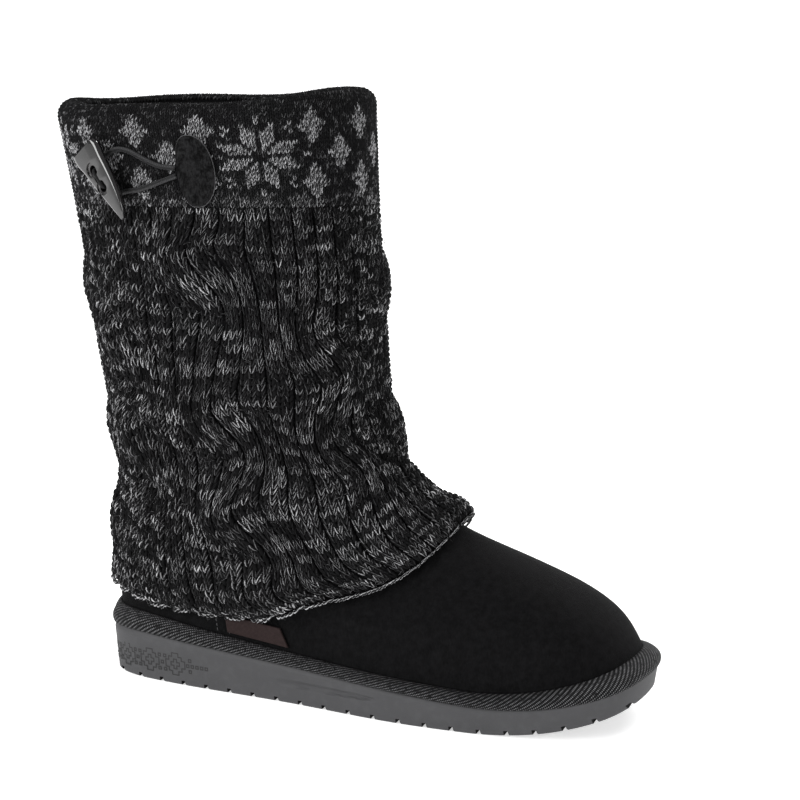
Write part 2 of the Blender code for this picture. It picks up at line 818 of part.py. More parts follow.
def make_loop():
    """The elastic, laid on the knit."""
    off = CLEARANCE + LOOP / 2
    route = [on_sleeve(turn, height, off)[0] for turn, height in LOOP_ROUTE]
    points = even_route(route, 1.9 * LOOP)
    add_tube("elastic_loop", points, LOOP, finish("black elastic", (0.012, 0.012, 0.012), 0.6))


def make_patch():
    """A suede patch on the knit, straighter on the side where the loop comes out."""
    radius = 1 / math.radians(1) / (COLLAR_LENGTH / 2)
    rings = []
    for scale in (1.0, 0.66, 0.33):
        points = []
        for step in range(24):
            angle = 2 * math.pi * step / 24
            across = math.cos(angle)
            across = across if across > 0 else -0.80 * abs(across) ** 0.7
            turn = PATCH_TURN + scale * across * PATCH_WIDTH / 2 * radius
            height = PATCH_HEIGHT_ON_SLEEVE + scale * math.sin(angle) * PATCH_HEIGHT / 2
            points.append(on_sleeve(turn, height, CLEARANCE)[0])
        rings.append(points)
    data = loft("patch", rings)
    mesh = bmesh.new()
    mesh.from_mesh(data)
    mesh.verts.ensure_lookup_table()
    mesh.faces.new([mesh.verts[-24 + step] for step in range(24)])
    mesh.to_mesh(data)
    mesh.free()
    patch = add_object("patch", data, finish("patch suede", (0.009, 0.009, 0.009), 0.95))
    wall = solidify(patch, PATCH_THICKNESS)
    wall.offset = 1


def make_tab():
    """A woven tab that comes out of the outer side seam and lies along the bead."""
    seam_x = last_point(SEAM_ANGLE).x
    back = -HALF + RAND_HEEL_INSET
    front = HALF - RAND_TOE_INSET
    start = seam_x + 0.75 * SEAM_WIDTH + CLEARANCE
    columns = 7
    low_row, high_row = [], []
    for row, length, rise in ((low_row, TAB_LENGTH, 0), (high_row, TAB_LENGTH - TAB_SLANT, TAB_HEIGHT)):
        for step in range(columns):
            place = start + length * step / (columns - 1)
            theta = math.acos(1 - 2 * (place - back) / (front - back))
            low, high = form(1.1, theta), form(2, theta)
            share = (TAB_RISE + rise) / (high.z - low.z)
            row.append(low.lerp(high, share) + outward(1.5, theta) * CLEARANCE)
    mesh = bmesh.new()
    rows = [[mesh.verts.new(point) for point in points] for points in (low_row, high_row)]
    for step in range(columns - 1):
        corners = (rows[0][step], rows[0][step + 1], rows[1][step + 1], rows[1][step])
        mesh.faces.new(corners)
    data = bpy.data.meshes.new("side_tab")
    mesh.to_mesh(data)
    mesh.free()
    tab = add_object("side_tab", data, finish("brown tape", (0.035, 0.014, 0.013), 0.85))
    wall = solidify(tab, TAB_THICKNESS)
    wall.offset = 1


make_outsole()
make_rand()
make_upper()
make_insole()
make_sleeve()
make_toggle()
make_thread()
make_loop()
make_patch()
make_tab()
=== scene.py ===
import math

import bpy
import numpy as np
from mathutils import Matrix, Vector


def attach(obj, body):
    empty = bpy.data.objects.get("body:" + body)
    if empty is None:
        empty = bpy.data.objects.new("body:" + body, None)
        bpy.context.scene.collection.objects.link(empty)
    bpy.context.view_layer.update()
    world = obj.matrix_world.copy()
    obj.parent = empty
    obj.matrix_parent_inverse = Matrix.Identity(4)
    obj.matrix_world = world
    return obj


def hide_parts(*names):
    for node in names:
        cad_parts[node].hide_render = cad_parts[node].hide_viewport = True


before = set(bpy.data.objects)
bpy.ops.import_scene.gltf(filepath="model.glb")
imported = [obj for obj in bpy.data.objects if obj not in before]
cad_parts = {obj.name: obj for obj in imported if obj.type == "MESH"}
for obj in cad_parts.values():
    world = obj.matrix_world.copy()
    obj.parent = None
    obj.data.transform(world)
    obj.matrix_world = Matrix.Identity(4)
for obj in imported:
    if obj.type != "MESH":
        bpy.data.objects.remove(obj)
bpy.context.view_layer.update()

# The camera stands where the photograph was taken from, a little above the boot's outer
# side and towards its toe.
bpy.ops.object.camera_add(location=(0.27269, -0.72281, 0.26981))
camera = bpy.context.object
camera.name = "camera"
aim = Vector((0.00558, 0.018857, 0.13582)) - camera.location
camera.rotation_euler = aim.to_track_quat("-Z", "Y").to_euler()
camera.data.lens = 75.97
camera.data.sensor_width = 36
bpy.context.scene.camera = camera

# A white paper sweep on a table, lit by two large soft boxes at the left, a weaker one at
# the right and a strip above and behind.
bpy.context.scene.view_settings.view_transform = "Standard"
studio = bpy.data.worlds.new("studio")
studio.use_nodes = True
studio_inputs = studio.node_tree.nodes["Background"].inputs
studio_inputs["Color"].default_value = (1, 1, 1, 1)
studio_inputs["Strength"].default_value = 0.42
bpy.context.scene.world = studio
for name, place, power, width, height in (
    ("soft_box_left", (-1.25, -0.85, 1.15), 6, 0.7, 0.7),
    ("soft_box_front", (-0.72, -1.12, 0.56), 14, 0.6, 0.8),
    ("card_left", (-1.55, -0.50, 0.22), 0.5, 0.5, 0.9),
    ("soft_box_right", (1.30, -0.95, 0.55), 7, 0.5, 0.5),
    ("strip_above", (0.58, 0.67, 1.30), 14, 0.16, 1.1),
):
    bpy.ops.object.light_add(type="AREA", location=place)
    lamp = bpy.context.object
    lamp.name = name
    lamp.data.energy = power
    lamp.data.shape = "RECTANGLE"
    lamp.data.size = width
    lamp.data.size_y = height
    lamp.rotation_euler = (Vector((0, 0, 0.12)) - lamp.location).to_track_quat("-Z", "Y").to_euler()
sweep = [(-2.2, 0.0), (1.1, 0.0), (1.45, 0.06), (1.72, 0.24), (1.90, 0.55), (1.95, 1.0), (1.95, 2.6)]
sweep_mesh = bpy.data.meshes.new("paper_sweep")
sweep_mesh.from_pydata(
    [(side * 3.0, back, up - 0.0002) for back, up in sweep for side in (-1, 1)],
    [], [(2 * step, 2 * step + 1, 2 * step + 3, 2 * step + 2) for step in range(len(sweep) - 1)],
)
sweep_mesh.shade_smooth()
paper = bpy.data.objects.new("paper_sweep", sweep_mesh)
bpy.context.scene.collection.objects.link(paper)
paper_finish = bpy.data.materials.new("white paper")
paper_finish.use_nodes = True
paper_inputs = paper_finish.node_tree.nodes["Principled BSDF"].inputs
paper_inputs["Base Color"].default_value = (0.86, 0.86, 0.86, 1)
paper_inputs["Roughness"].default_value = 0.9
paper_inputs["Emission Color"].default_value = (1, 1, 1, 1)
paper_inputs["Emission Strength"].default_value = 0.55
paper.data.materials.append(paper_finish)

# The wedge sole: one moulding of matte grey rubber with a thicker heel, cross grooves cut
# right through its edge, and a long dip pressed into each side at the waist.
SOLE_LENGTH = 0.270
HALF = SOLE_LENGTH / 2
BALL_WIDTH = 0.0958
WAIST_WIDTH = 0.0748
HEEL_WIDTH = 0.0622
HEEL_HEIGHT = 0.0234
FOREFOOT_HEIGHT = 0.0123
TOE_SPRING = 0.0155
SOLE_FLARE = 0.0016
SOLE_EDGE = 0.0008
CLEARANCE = 0.0003
GROOVE_COUNT = 21
GROOVE_START = 0.0108
GROOVE_PITCH = 0.01265
SOLE_PLAN = (
    (0.020, HEEL_WIDTH, 0.290, 0.290),
    (0.075, HEEL_WIDTH, 0.434, 0.434),
    (0.150, HEEL_WIDTH, 0.500, 0.500),
    (0.380, WAIST_WIDTH, 0.505, 0.495),
    (0.610, BALL_WIDTH, 0.484, 0.484),
    (0.745, BALL_WIDTH, 0.489, 0.511),
    (0.880, BALL_WIDTH, 0.450, 0.420),
    (0.960, BALL_WIDTH, 0.340, 0.290),
)


class Wire:
    """One shader socket that takes part in plain arithmetic."""

    def __init__(self, tree, socket=None):
        self.tree = tree
        self.socket = socket

    def node(self, kind, settings=None, inputs=None, output=0):
        made = self.tree.nodes.new(kind)
        for name, value in (settings or {}).items():
            setattr(made, name, value)
        for name, value in (inputs or {}).items():
            self.feed(made.inputs[name], value)
        return Wire(self.tree, made.outputs[output])

    def feed(self, socket, value):
        if isinstance(value, Wire):
            self.tree.links.new(value.socket, socket)
        elif isinstance(value, tuple) and socket.type == "RGBA":
            socket.default_value = (*value, 1)
        else:
            socket.default_value = value

    def math(self, operation, first, second=0.0):
        return self.node("ShaderNodeMath", {"operation": operation}, {0: first, 1: second})

    def __add__(self, other):
        return self.math("ADD", self, other)

    def __sub__(self, other):
        return self.math("SUBTRACT", self, other)

    def __mul__(self, other):
        return self.math("MULTIPLY", self, other)

    def steps(self, low, high):
        """Nothing below low, all above high, and smooth between them."""
        kinds = {"interpolation_type": "SMOOTHSTEP"}
        return self.node("ShaderNodeMapRange", kinds, {"Value": self, "From Min": low, "From Max": high})

    def wave(self, pitch):
        """From 0 to 1 and back once in each pitch."""
        return self.math("SINE", self * (2 * math.pi / pitch)) * 0.5 + 0.5

    def blend(self, first, second):
        """The first colour where this is 0 and the second where it is 1."""
        return self.node("ShaderNodeMix", {"data_type": "RGBA"}, {0: self, 6: first, 7: second}, output=2)

    def noise(self, scale, detail=2.0, roughness=0.5):
        values = {"Vector": self, "Scale": scale, "Detail": detail, "Roughness": roughness}
        return self.node("ShaderNodeTexNoise", None, values)

    def stretched(self, x, y, z):
        return self.node("ShaderNodeVectorMath", {"operation": "MULTIPLY"}, {0: self, 1: (x, y, z)})

    def part(self, letter):
        return self.node("ShaderNodeSeparateXYZ", None, {0: self}, output="XYZ".index(letter))


def new_finish(name, roughness, bump=None, depth=0.0002, **sockets):
    """A material whose sockets take plain values or what was made from Wire sockets."""
    material = bpy.data.materials[name]
    shader = material.node_tree.nodes["Principled BSDF"]
    maker = Wire(material.node_tree)
    maker.feed(shader.inputs["Roughness"], roughness)
    for socket, value in sockets.items():
        maker.feed(shader.inputs[socket.replace("_", " ")], value)
    if bump:
        height = {"Height": bump, "Distance": depth, "Strength": 1.0}
        maker.feed(shader.inputs["Normal"], maker.node("ShaderNodeBump", None, height))
    return material


def started(name, uv=None):
    """A new material and the coordinates that its patterns are laid on."""
    material = bpy.data.materials.new(name)
    material.use_nodes = True
    maker = Wire(material.node_tree)
    if uv:
        return maker.node("ShaderNodeUVMap", {"uv_map": uv})
    return maker.node("ShaderNodeTexCoord", output=3)


def grained(name, scale, detail, dark, light, roughness, depth, edges=None, **sockets):
    """A finish of one noise, which shades it from dark to light and bumps it by depth."""
    grain = started(name).noise(scale, *detail)
    shade = grain.steps(*edges) if edges else grain
    bump = grain if depth else None
    return new_finish(name, roughness, bump, depth, Base_Color=shade.blend(dark, light), **sockets)


def curve(knots, values, places):
    """A smooth curve through values at knots, read at places."""
    knots = np.asarray(knots, float)
    values = np.asarray(values, float)
    slopes = np.gradient(values, knots, axis=0)
    places = np.asarray(places, float)
    low = np.clip(np.searchsorted(knots, places, side="right") - 1, 0, len(knots) - 2)
    span = knots[low + 1] - knots[low]
    share = (places - knots[low]) / span
    shape = share.shape + (1,) * (values.ndim - 1)
    share = share.reshape(shape)
    span = span.reshape(shape)
    rest = 1 - share
    start = (1 + 2 * share) * rest**2 * values[low] + share * rest**2 * span * slopes[low]
    end = share**2 * (3 - 2 * share) * values[low + 1] - share**2 * rest * span * slopes[low + 1]
    return start + end


def half_outline(shares, halves, theta):
    angle = np.minimum(theta, 2 * math.pi - theta)
    knots = [0.0] + [math.acos(1 - 2 * share) for share in shares] + [math.pi]
    return curve(knots, [0.0] + list(halves) + [0.0], angle)


def sole_half(theta):
    shares = [row[0] for row in SOLE_PLAN]
    outer = half_outline(shares, [row[1] * row[2] for row in SOLE_PLAN], theta)
    inner = half_outline(shares, [row[1] * row[3] for row in SOLE_PLAN], theta)
    return np.where(theta <= math.pi, outer, inner)


def side_of(theta):
    return np.where(theta <= math.pi, -1.0, 1.0)


def spring(place):
    share = place / SOLE_LENGTH + 0.5
    return TOE_SPRING * np.maximum(0.0, (share - 0.72) / 0.28) ** 2


def sole_top(place):
    share = place / SOLE_LENGTH + 0.5
    down = np.clip((share - 0.10) / 0.62, 0, 1)
    return HEEL_HEIGHT + (FOREFOOT_HEIGHT - HEEL_HEIGHT) * down + spring(place)


def even_angles(count):
    return np.arange(count) * 2 * math.pi / count


def pushed_out(points, grow):
    """The points of a closed plan, moved outwards by grow."""
    along = np.roll(points, -1, axis=0) - np.roll(points, 1, axis=0)
    outward = np.stack([along[:, 1], -along[:, 0]], axis=-1)
    outward /= np.linalg.norm(outward, axis=1, keepdims=True)
    return points + grow * outward


def sole_ring(theta, grow=0.0):
    """Points round the sole's outline, moved outwards in plan by grow."""
    place = -HALF * np.cos(theta)
    return pushed_out(np.stack([place, side_of(theta) * sole_half(theta)], axis=-1), grow)


def raised(plan, height):
    return np.column_stack([plan, height])


def grid_mesh(name, rows, wrap_up=False, capped=False):
    """Quads between closed rings of points, with a UV map that counts metres round and up."""
    rows = np.asarray(rows, float)
    high, wide = rows.shape[:2]
    strips = high if wrap_up else high - 1
    up, side = np.meshgrid(np.arange(strips), np.arange(wide), indexing="ij")
    next_up = (up + 1) % high
    next_side = (side + 1) % wide
    quads = np.stack(
        [up * wide + side, up * wide + next_side, next_up * wide + next_side, next_up * wide + side],
        axis=-1,
    ).reshape(-1, 4)
    faces = quads.tolist()
    if capped:
        for row, flip in ((0, True), (high - 1, False)):
            for step in range(wide // 2):
                corners = [step, step + 1, wide - step - 1, (wide - step) % wide]
                face = [row * wide + corner for corner in dict.fromkeys(corners)]
                faces.append(face[::-1] if flip else face)
    mesh = bpy.data.meshes.new(name)
    mesh.from_pydata(rows.reshape(-1, 3).tolist(), [], faces)
    widths = np.linalg.norm(np.roll(rows, -1, axis=1) - rows, axis=2)
    run = np.concatenate([np.zeros((high, 1)), np.cumsum(widths, axis=1)], axis=1)
    heights = np.linalg.norm(np.roll(rows, -1, axis=0) - rows, axis=2)
    rise = np.concatenate([np.zeros((1, wide)), np.cumsum(heights, axis=0)], axis=0)
    middle = run.mean(axis=0)
    tall = rise.mean(axis=1)
    uv = np.zeros((len(quads), 4, 2))
    flat_up = up.reshape(-1)
    flat_side = side.reshape(-1)
    uv[:, :, 0] = middle[np.stack([flat_side, flat_side + 1, flat_side + 1, flat_side], axis=1)]
    uv[:, :, 1] = tall[np.stack([flat_up, flat_up, flat_up + 1, flat_up + 1], axis=1)]
    layer = mesh.uv_layers.new(name="Metres")
    values = np.zeros(len(mesh.loops) * 2)
    values[: uv.size] = uv.reshape(-1)
    layer.data.foreach_set("uv", values)
    return mesh


def show(name, mesh, material, replaced=None, sharp=None, fill=False):
    """A finished piece: shaded smooth, dressed, riding on the boot and standing for its node.
    fill closes its open ends."""
    obj = bpy.data.objects.new(name, mesh)
    bpy.context.scene.collection.objects.link(obj)
    mesh.materials.clear()
    mesh.materials.append(material)
    mesh.shade_smooth()
    if sharp:
        mesh.set_sharp_from_angle(angle=math.radians(sharp))
    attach(obj, "root")
    if replaced:
        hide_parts(replaced)
    if fill:
        faces_outward(obj, fill)
    return obj


def cut_away(obj, cutter):
    """Takes the cutter out of a piece and throws the cutter away."""
    cut = obj.modifiers.new("cut", "BOOLEAN")
    cut.operation = "DIFFERENCE"
    cut.object = cutter
    cut.solver = "EXACT"
    cut.material_mode = "TRANSFER"
    bpy.context.view_layer.objects.active = obj
    bpy.ops.object.modifier_apply(modifier=cut.name)
    bpy.data.objects.remove(cutter)


def faces_outward(obj, fill=False):
    """Turns a piece's faces outward, after its open ends are closed where fill says so."""
    bpy.ops.object.select_all(action="DESELECT")
    bpy.context.view_layer.objects.active = obj
    obj.select_set(True)
    bpy.ops.object.mode_set(mode="EDIT")
    if fill:
        bpy.ops.mesh.select_all(action="DESELECT")
        bpy.ops.mesh.select_non_manifold()
        bpy.ops.mesh.edge_face_add()
    bpy.ops.mesh.select_all(action="SELECT")
    bpy.ops.mesh.normals_make_consistent(inside=False)
    bpy.ops.object.mode_set(mode="OBJECT")


def tread_bars():
    """One bar for each groove, square to the underside, with its front face slanted. The bars carry a
    near-black painted shade that the cut passes on to the grooves' faces.
    """
    points = []
    faces = []
    for number in range(GROOVE_COUNT):
        place = -HALF + GROOVE_START + GROOVE_PITCH * number
        slope = math.atan2(spring(place + 0.0008) - spring(place - 0.0008), 0.0016)
        for across in (-1, 1):
            for up in (-1, 1):
                for along in (-1, 1):
                    local = Vector((0.0014 * along, across * BALL_WIDTH, 0.0023 * up))
                    if along > 0 and up > 0:
                        local.x -= 0.0009
                    turned = Matrix.Rotation(-slope, 4, "Y") @ local
                    points.append(turned + Vector((place, 0, float(spring(place)))))
        first = 8 * number
        for face in ((0, 2, 3, 1), (4, 5, 7, 6), (0, 1, 5, 4), (2, 6, 7, 3), (0, 4, 6, 2), (1, 3, 7, 5)):
            faces.append([first + corner for corner in face])
    mesh = bpy.data.meshes.new("tread_bars")
    mesh.from_pydata(points, [], faces)
    bars = bpy.data.objects.new("tread_bars", mesh)
    bpy.context.scene.collection.objects.link(bars)
    faces_outward(bars)
    # Painted shade: the grooves' walls and floors get a near-black colour for the shade inside them.
    started("painted groove shade")
    shadow = (0.006, 0.006, 0.006)
    mesh.materials.append(new_finish("painted groove shade", 0.9, Base_Color=shadow, Specular_IOR_Level=0.1))
    return bars


def soft_step(value, low, high):
    share = np.clip((value - low) / (high - low), 0, 1)
    return share * share * (3 - 2 * share)


def side_dip(place, height):
    """How deep the long drop is pressed into the side: round in front, fading out behind."""
    share = (place + 0.043) / 0.0572
    top = 0.0131 + (0.0111 - 0.0131) * share - height
    low = height - (0.0075 + (0.0087 - 0.0075) * (place + 0.031) / 0.0452)
    nose = 0.0154 - np.maximum(place, 0.0142) - 0.6 * np.abs(height - 0.0099)
    end = place + 0.043 - (0.0131 - height) * 2.1
    inside = np.minimum(np.minimum(top, low), np.minimum(nose, end * 0.5))
    return 0.0011 * soft_step(inside, 0.0, 0.0008) * soft_step(place, -0.045, -0.020)


def rubber_finish():
    space = started("grey rubber")
    grain = space.noise(2600, 3)
    cloudy = space.noise(70, 3)
    grime = space.noise(260, 2).steps(0.45, 0.75)
    tone = cloudy * 0.5 + grain * 0.3 + grime * 0.2
    colour = tone.blend((0.030, 0.030, 0.032), (0.060, 0.060, 0.063))
    return new_finish(
        "grey rubber", tone * 0.18 + 0.55, grain + cloudy * 0.6, 0.00011, Base_Color=colour,
        Specular_IOR_Level=0.3,
    )


around = even_angles(240)
dense = even_angles(640)
lean = []
for share in np.linspace(0, 1, 30):
    grow = -SOLE_FLARE * (1 - min(share / 0.93, 1)) - 0.0003 * max(0, share - 0.93) / 0.07
    plan = sole_ring(dense, grow)
    low = spring(plan[:, 0]) + SOLE_EDGE
    height = low + (sole_top(plan[:, 0]) - SOLE_EDGE - low) * share
    plan[:, 1] -= np.sign(plan[:, 1]) * side_dip(plan[:, 0], height)
    lean.append(raised(plan, height))
under = sole_ring(dense, -SOLE_FLARE - SOLE_EDGE)
crown = sole_ring(dense, -SOLE_EDGE)
side_rings = [raised(under, spring(under[:, 0]))] + lean + [raised(crown, sole_top(crown[:, 0]))]
grey_rubber = rubber_finish()
sole = show("wedge_sole", grid_mesh("wedge_sole", side_rings, capped=True), grey_rubber, "outsole")
cut_away(sole, tread_bars())
sole.data.set_sharp_from_angle(angle=math.radians(38))

# The Nordic border moulded into the edge of the heel: fine lines that draw stepped rosettes with a cross in
# each, small squares between them and a short chain at each end, laid on as thin strips whose dark colour is
# painted shade of the engraved grooves.
LINE = 0.00054
ROSETTE_PITCH = 15.1
OCTAGON = (
    (-1.5, 4.5), (1.5, 4.5), (1.5, 3.0), (3.0, 3.0), (3.0, 1.5), (4.5, 1.5), (4.5, -1.5),
    (3.0, -1.5), (3.0, -3.0), (1.5, -3.0), (1.5, -4.5), (-1.5, -4.5), (-1.5, -3.0),
    (-3.0, -3.0), (-3.0, -1.5), (-4.5, -1.5), (-4.5, 1.5), (-3.0, 1.5), (-3.0, 3.0), (-1.5, 3.0),
)
CROSS = (
    (-0.7, 2.0), (0.7, 2.0), (0.7, 0.7), (2.0, 0.7), (2.0, -0.7), (0.7, -0.7),
    (0.7, -2.0), (-0.7, -2.0), (-0.7, -0.7), (-2.0, -0.7), (-2.0, 0.7), (-0.7, 0.7),
)
SQUARE = ((-0.75, 0.75), (0.75, 0.75), (0.75, -0.75), (-0.75, -0.75))


def runs_along(line):
    """The length from a line's first point to each of its points."""
    return np.concatenate([[0], np.cumsum(np.linalg.norm(np.diff(line, axis=0), axis=1))])


def heel_edge(run, height, off):
    """A point on the edge of the sole, by its distance round from the back of the heel."""
    plan = sole_ring(even_angles(2880), -SOLE_FLARE / 2 + off)
    runs = runs_along(plan)
    total = runs[-1] + np.linalg.norm(plan[0] - plan[-1])
    where = np.asarray(run) % total
    x = np.interp(where, np.append(runs, total), np.append(plan[:, 0], plan[0, 0]))
    y = np.interp(where, np.append(runs, total), np.append(plan[:, 1], plan[0, 1]))
    slope = (height - 0.012) / 0.022 * SOLE_FLARE
    return np.stack([x, y * (1 + slope / 0.031), np.asarray(height)], axis=-1)


border = []
for step in range(-4, 5):
    border += [(outline, 1.22, ROSETTE_PITCH * step, 0.0) for outline in (OCTAGON, CROSS)]
for step in range(-4, 4):
    run = ROSETTE_PITCH * (step + 0.5)
    border += [(SQUARE, 0.9, run, 0.0)]
    border += [(SQUARE, 0.9, run + side, rise) for side in (-1.6, 1.6) for rise in (-3.4, 3.4)]
for way in (-1, 1):
    border += [(SQUARE, 0.9, way * (67.6 + 2.6 * step), 0.0) for step in range(5)]
    border += [(SQUARE, 0.9, way * 68.9, rise) for rise in (-2.8, 2.8)]
spots = []
strokes = []
for outline, scale, run, rise in border:
    for step, first in enumerate(outline):
        second = outline[(step + 1) % len(outline)]
        ends = (np.array([first, second]) * scale + np.array([run, rise])) * 0.001
        way = (ends[1] - ends[0]) / np.linalg.norm(ends[1] - ends[0])
        across = np.array([-way[1], way[0]]) * LINE / 2
        ends = ends + np.array([-way, way]) * LINE / 2
        strip = [ends[0] - across, ends[1] - across, ends[1] + across, ends[0] + across]
        strokes.append([len(spots) + corner for corner in range(4)])
        spots += strip
spots = np.array(spots)
line_points = heel_edge(spots[:, 0], spots[:, 1] + 0.0103, 0.00022)
line_mesh = bpy.data.meshes.new("heel_border")
line_mesh.from_pydata(line_points.tolist(), [], strokes)
# Painted shade: the strips are darker than the rubber, for the shadow inside the engraved lines.
border_groove_shade = grained(
    "border groove shade", 900, (2,), (0.004, 0.004, 0.0042), (0.013, 0.013, 0.0135), 0.75, 0.00005,
)
show("heel_border", line_mesh, border_groove_shade)

# The bead: a cord under black twill tape, sewn round the boot between sole and suede. Its
# weave shows as slanting rows of fine grey dots.
RAND_PLAN = ((0.00, 0.0110), (0.12, 0.0093), (0.34, 0.0062), (0.62, 0.0056), (0.85, 0.0064), (1.00, 0.0083))
LAST_BACK = -HALF + 0.0035
LAST_FRONT = HALF - 0.0075
NARROWER = 1 - 0.0060 / (BALL_WIDTH / 2)


def last_ring(theta, grow=0.0):
    """The foot of the suede, set in from the edge of the sole."""
    place = LAST_BACK + (LAST_FRONT - LAST_BACK) * (1 - np.cos(theta)) / 2
    return pushed_out(np.stack([place, side_of(theta) * NARROWER * sole_half(theta)], axis=-1), grow)


def rand_height(place):
    return curve([row[0] for row in RAND_PLAN], [row[1] for row in RAND_PLAN], place / SOLE_LENGTH + 0.5)


def tape_finish():
    place = started("twill tape", uv="Metres")
    round_it = place.part("X")
    up = place.part("Y")
    rows = (up - round_it * 0.58).wave(0.00165)
    dots = (round_it + up * 0.4).wave(0.00095)
    weave = rows * 0.6 + dots * 0.4
    uneven = place.noise(420, 2)
    fleck = (rows * dots).steps(0.30, 0.80) * uneven.steps(0.25, 0.60)
    colour = fleck.blend((0.0024, 0.0024, 0.0027), (0.170, 0.170, 0.176))
    return new_finish(
        "twill tape", uneven * 0.2 + 0.62, weave, 0.00035, Base_Color=colour,
        Specular_IOR_Level=0.12,
    )


near = last_ring(around, CLEARANCE)
far = sole_ring(around)
bead_section = (
    (0.00, 0.00), (0.50, 0.00), (0.97, 0.00), (1.09, 0.05), (1.14, 0.14), (1.16, 0.25), (1.15, 0.36),
    (1.10, 0.47), (1.01, 0.58), (0.88, 0.70), (0.72, 0.81), (0.55, 0.90), (0.36, 0.97),
    (0.18, 1.00), (0.00, 1.00),
)
bead_rows = []
base = sole_top(near[:, 0]) + CLEARANCE
tall = rand_height(near[:, 0]) - 2 * CLEARANCE
for across, up in bead_section:
    reach = far - near
    plan = near + reach * min(across, 1.0)
    if across > 1:
        plan = plan + reach / np.linalg.norm(reach, axis=1, keepdims=True) * 0.0010 * (across - 1) / 0.15
    bead_rows.append(raised(plan, base + tall * up))
for row in (1, 2):
    bead_rows[row][:, 2] = sole_top(bead_rows[row][:, 0]) + CLEARANCE
show("taped_bead", grid_mesh("taped_bead", bead_rows, wrap_up=True), tape_finish(), "rand")

# The suede upper: black split leather with a short nap, cut in two halves that meet in a
# raised, twice-stitched seam on each side. It is the whole shape of foot and shaft.
SUEDE = 0.0022
INSTEP_HEIGHT = 0.088
COLLAR_HEIGHT = 0.272
COLLAR_LENGTH = 0.1380
COLLAR_WIDTH = 0.1090
ANKLE_WIDTH = 0.0720
COLLAR_BACK = 0.0135
SEAM_PLACE = 0.257
SEAM_ANGLE = math.acos(1 - 2 * SEAM_PLACE)
SEAM_WIDTH = 0.0035
SEAM_RISE = 0.0009
LEVEL_STEPS = 40
SOFT_LEVELS = 84
INSTEP_PLAN = (
    (0.020, 0.32), (0.075, 0.57), (0.150, 0.76), (0.300, 0.94), (0.450, 1.00),
    (0.620, 0.94), (0.750, 0.80), (0.880, 0.57), (0.960, 0.33),
)
INSTEP_SECTIONS = (
    (0.46, 0.49, -0.4900, 0.4500, 0.500 * BALL_WIDTH, 0.990, 0.0, 0.0),
    (0.468, 0.57, -0.4900, 0.4204, 0.500 * BALL_WIDTH, 0.970, 0.0, 0.0),
    (0.477, 0.65, -0.4898, 0.3778, 0.500 * BALL_WIDTH, 0.945, 0.0, 0.0),
    (0.487, 0.725, -0.4893, 0.3220, 0.495 * BALL_WIDTH, 0.920, 0.0, 0.0),
    (0.498, 0.81, -0.4885, 0.2520, 0.485 * BALL_WIDTH, 0.800, 0.10, 0.0),
    (0.512, 0.90, -0.4873, 0.1780, 0.430 * BALL_WIDTH, 0.500, 0.44, 0.0),
    (0.56, 1.00, -0.4858, 0.1148, 0.385 * BALL_WIDTH, 0.200, 0.80, 0.0),
    (0.69, 1.12, -0.4820, 0.0704, 0.370 * BALL_WIDTH, 0.0, 1.0, 0.0),
    (0.88, 1.27, -0.4755, 0.0370, 0.495 * ANKLE_WIDTH, 0.0, 0.6, 0.4),
)
SHAFT_SECTIONS = (
    (0.366, 0.475, 0.00, 0.00, 0.00, 0.2, 0.8),
    (0.465, 0.552, 0.10, 0.28, 0.20, 0.0, 1.0),
    (0.610, 0.662, 0.36, 0.46, 0.50, 0.0, 1.0),
    (0.800, 0.826, 0.62, 0.74, 0.78, 0.0, 1.0),
    (0.992, 1.010, 1.00, 1.00, 1.00, 0.0, 1.0),
)
ANKLE_BACK = -0.4685 * SOLE_LENGTH
ANKLE_FRONT = 0.0165 * SOLE_LENGTH
TURNS = 720
TURN = even_angles(TURNS)


def suede_rows():
    """The suede's outside as rings at whole levels: its foot, the bead's top, each section."""
    foot = last_ring(TURN)
    base = sole_top(foot[:, 0])
    rows = [raised(foot, base + CLEARANCE), raised(foot, base + rand_height(foot[:, 0]))]
    sections = []
    for back_z, front_z, back_x, front_x, *rest in INSTEP_SECTIONS:
        heights = (back_z * INSTEP_HEIGHT, front_z * INSTEP_HEIGHT)
        sections.append((*heights, back_x * SOLE_LENGTH, front_x * SOLE_LENGTH, *rest))
    collar_back = -HALF - COLLAR_BACK
    for back_z, front_z, back_way, front_way, half_way, instep, oval in SHAFT_SECTIONS:
        back_x = ANKLE_BACK + (collar_back - ANKLE_BACK) * back_way
        front_x = ANKLE_FRONT + (collar_back + COLLAR_LENGTH - ANKLE_FRONT) * front_way
        half = (ANKLE_WIDTH + (COLLAR_WIDTH - ANKLE_WIDTH) * half_way) / 2
        heights = (back_z * COLLAR_HEIGHT, front_z * COLLAR_HEIGHT)
        sections.append((*heights, back_x, front_x, half, 0.0, instep, oval))
    share = (1 - np.cos(TURN)) / 2
    sole_shape = NARROWER * sole_half(TURN) / (BALL_WIDTH / 2)
    instep_shape = half_outline([row[0] for row in INSTEP_PLAN], [row[1] for row in INSTEP_PLAN], TURN)
    for back_z, front_z, back_x, front_x, half, sole_part, instep, oval in sections:
        shape = sole_part * sole_shape + instep * instep_shape + oval * np.abs(np.sin(TURN))
        height = back_z + (front_z - back_z) * share**4
        height = height - 0.0024 * np.sin(TURN) * (back_z / COLLAR_HEIGHT) ** 4
        along = back_x + (front_x - back_x) * share
        rows.append(np.column_stack([along, side_of(TURN) * half * shape, height]))
    return np.array(rows)


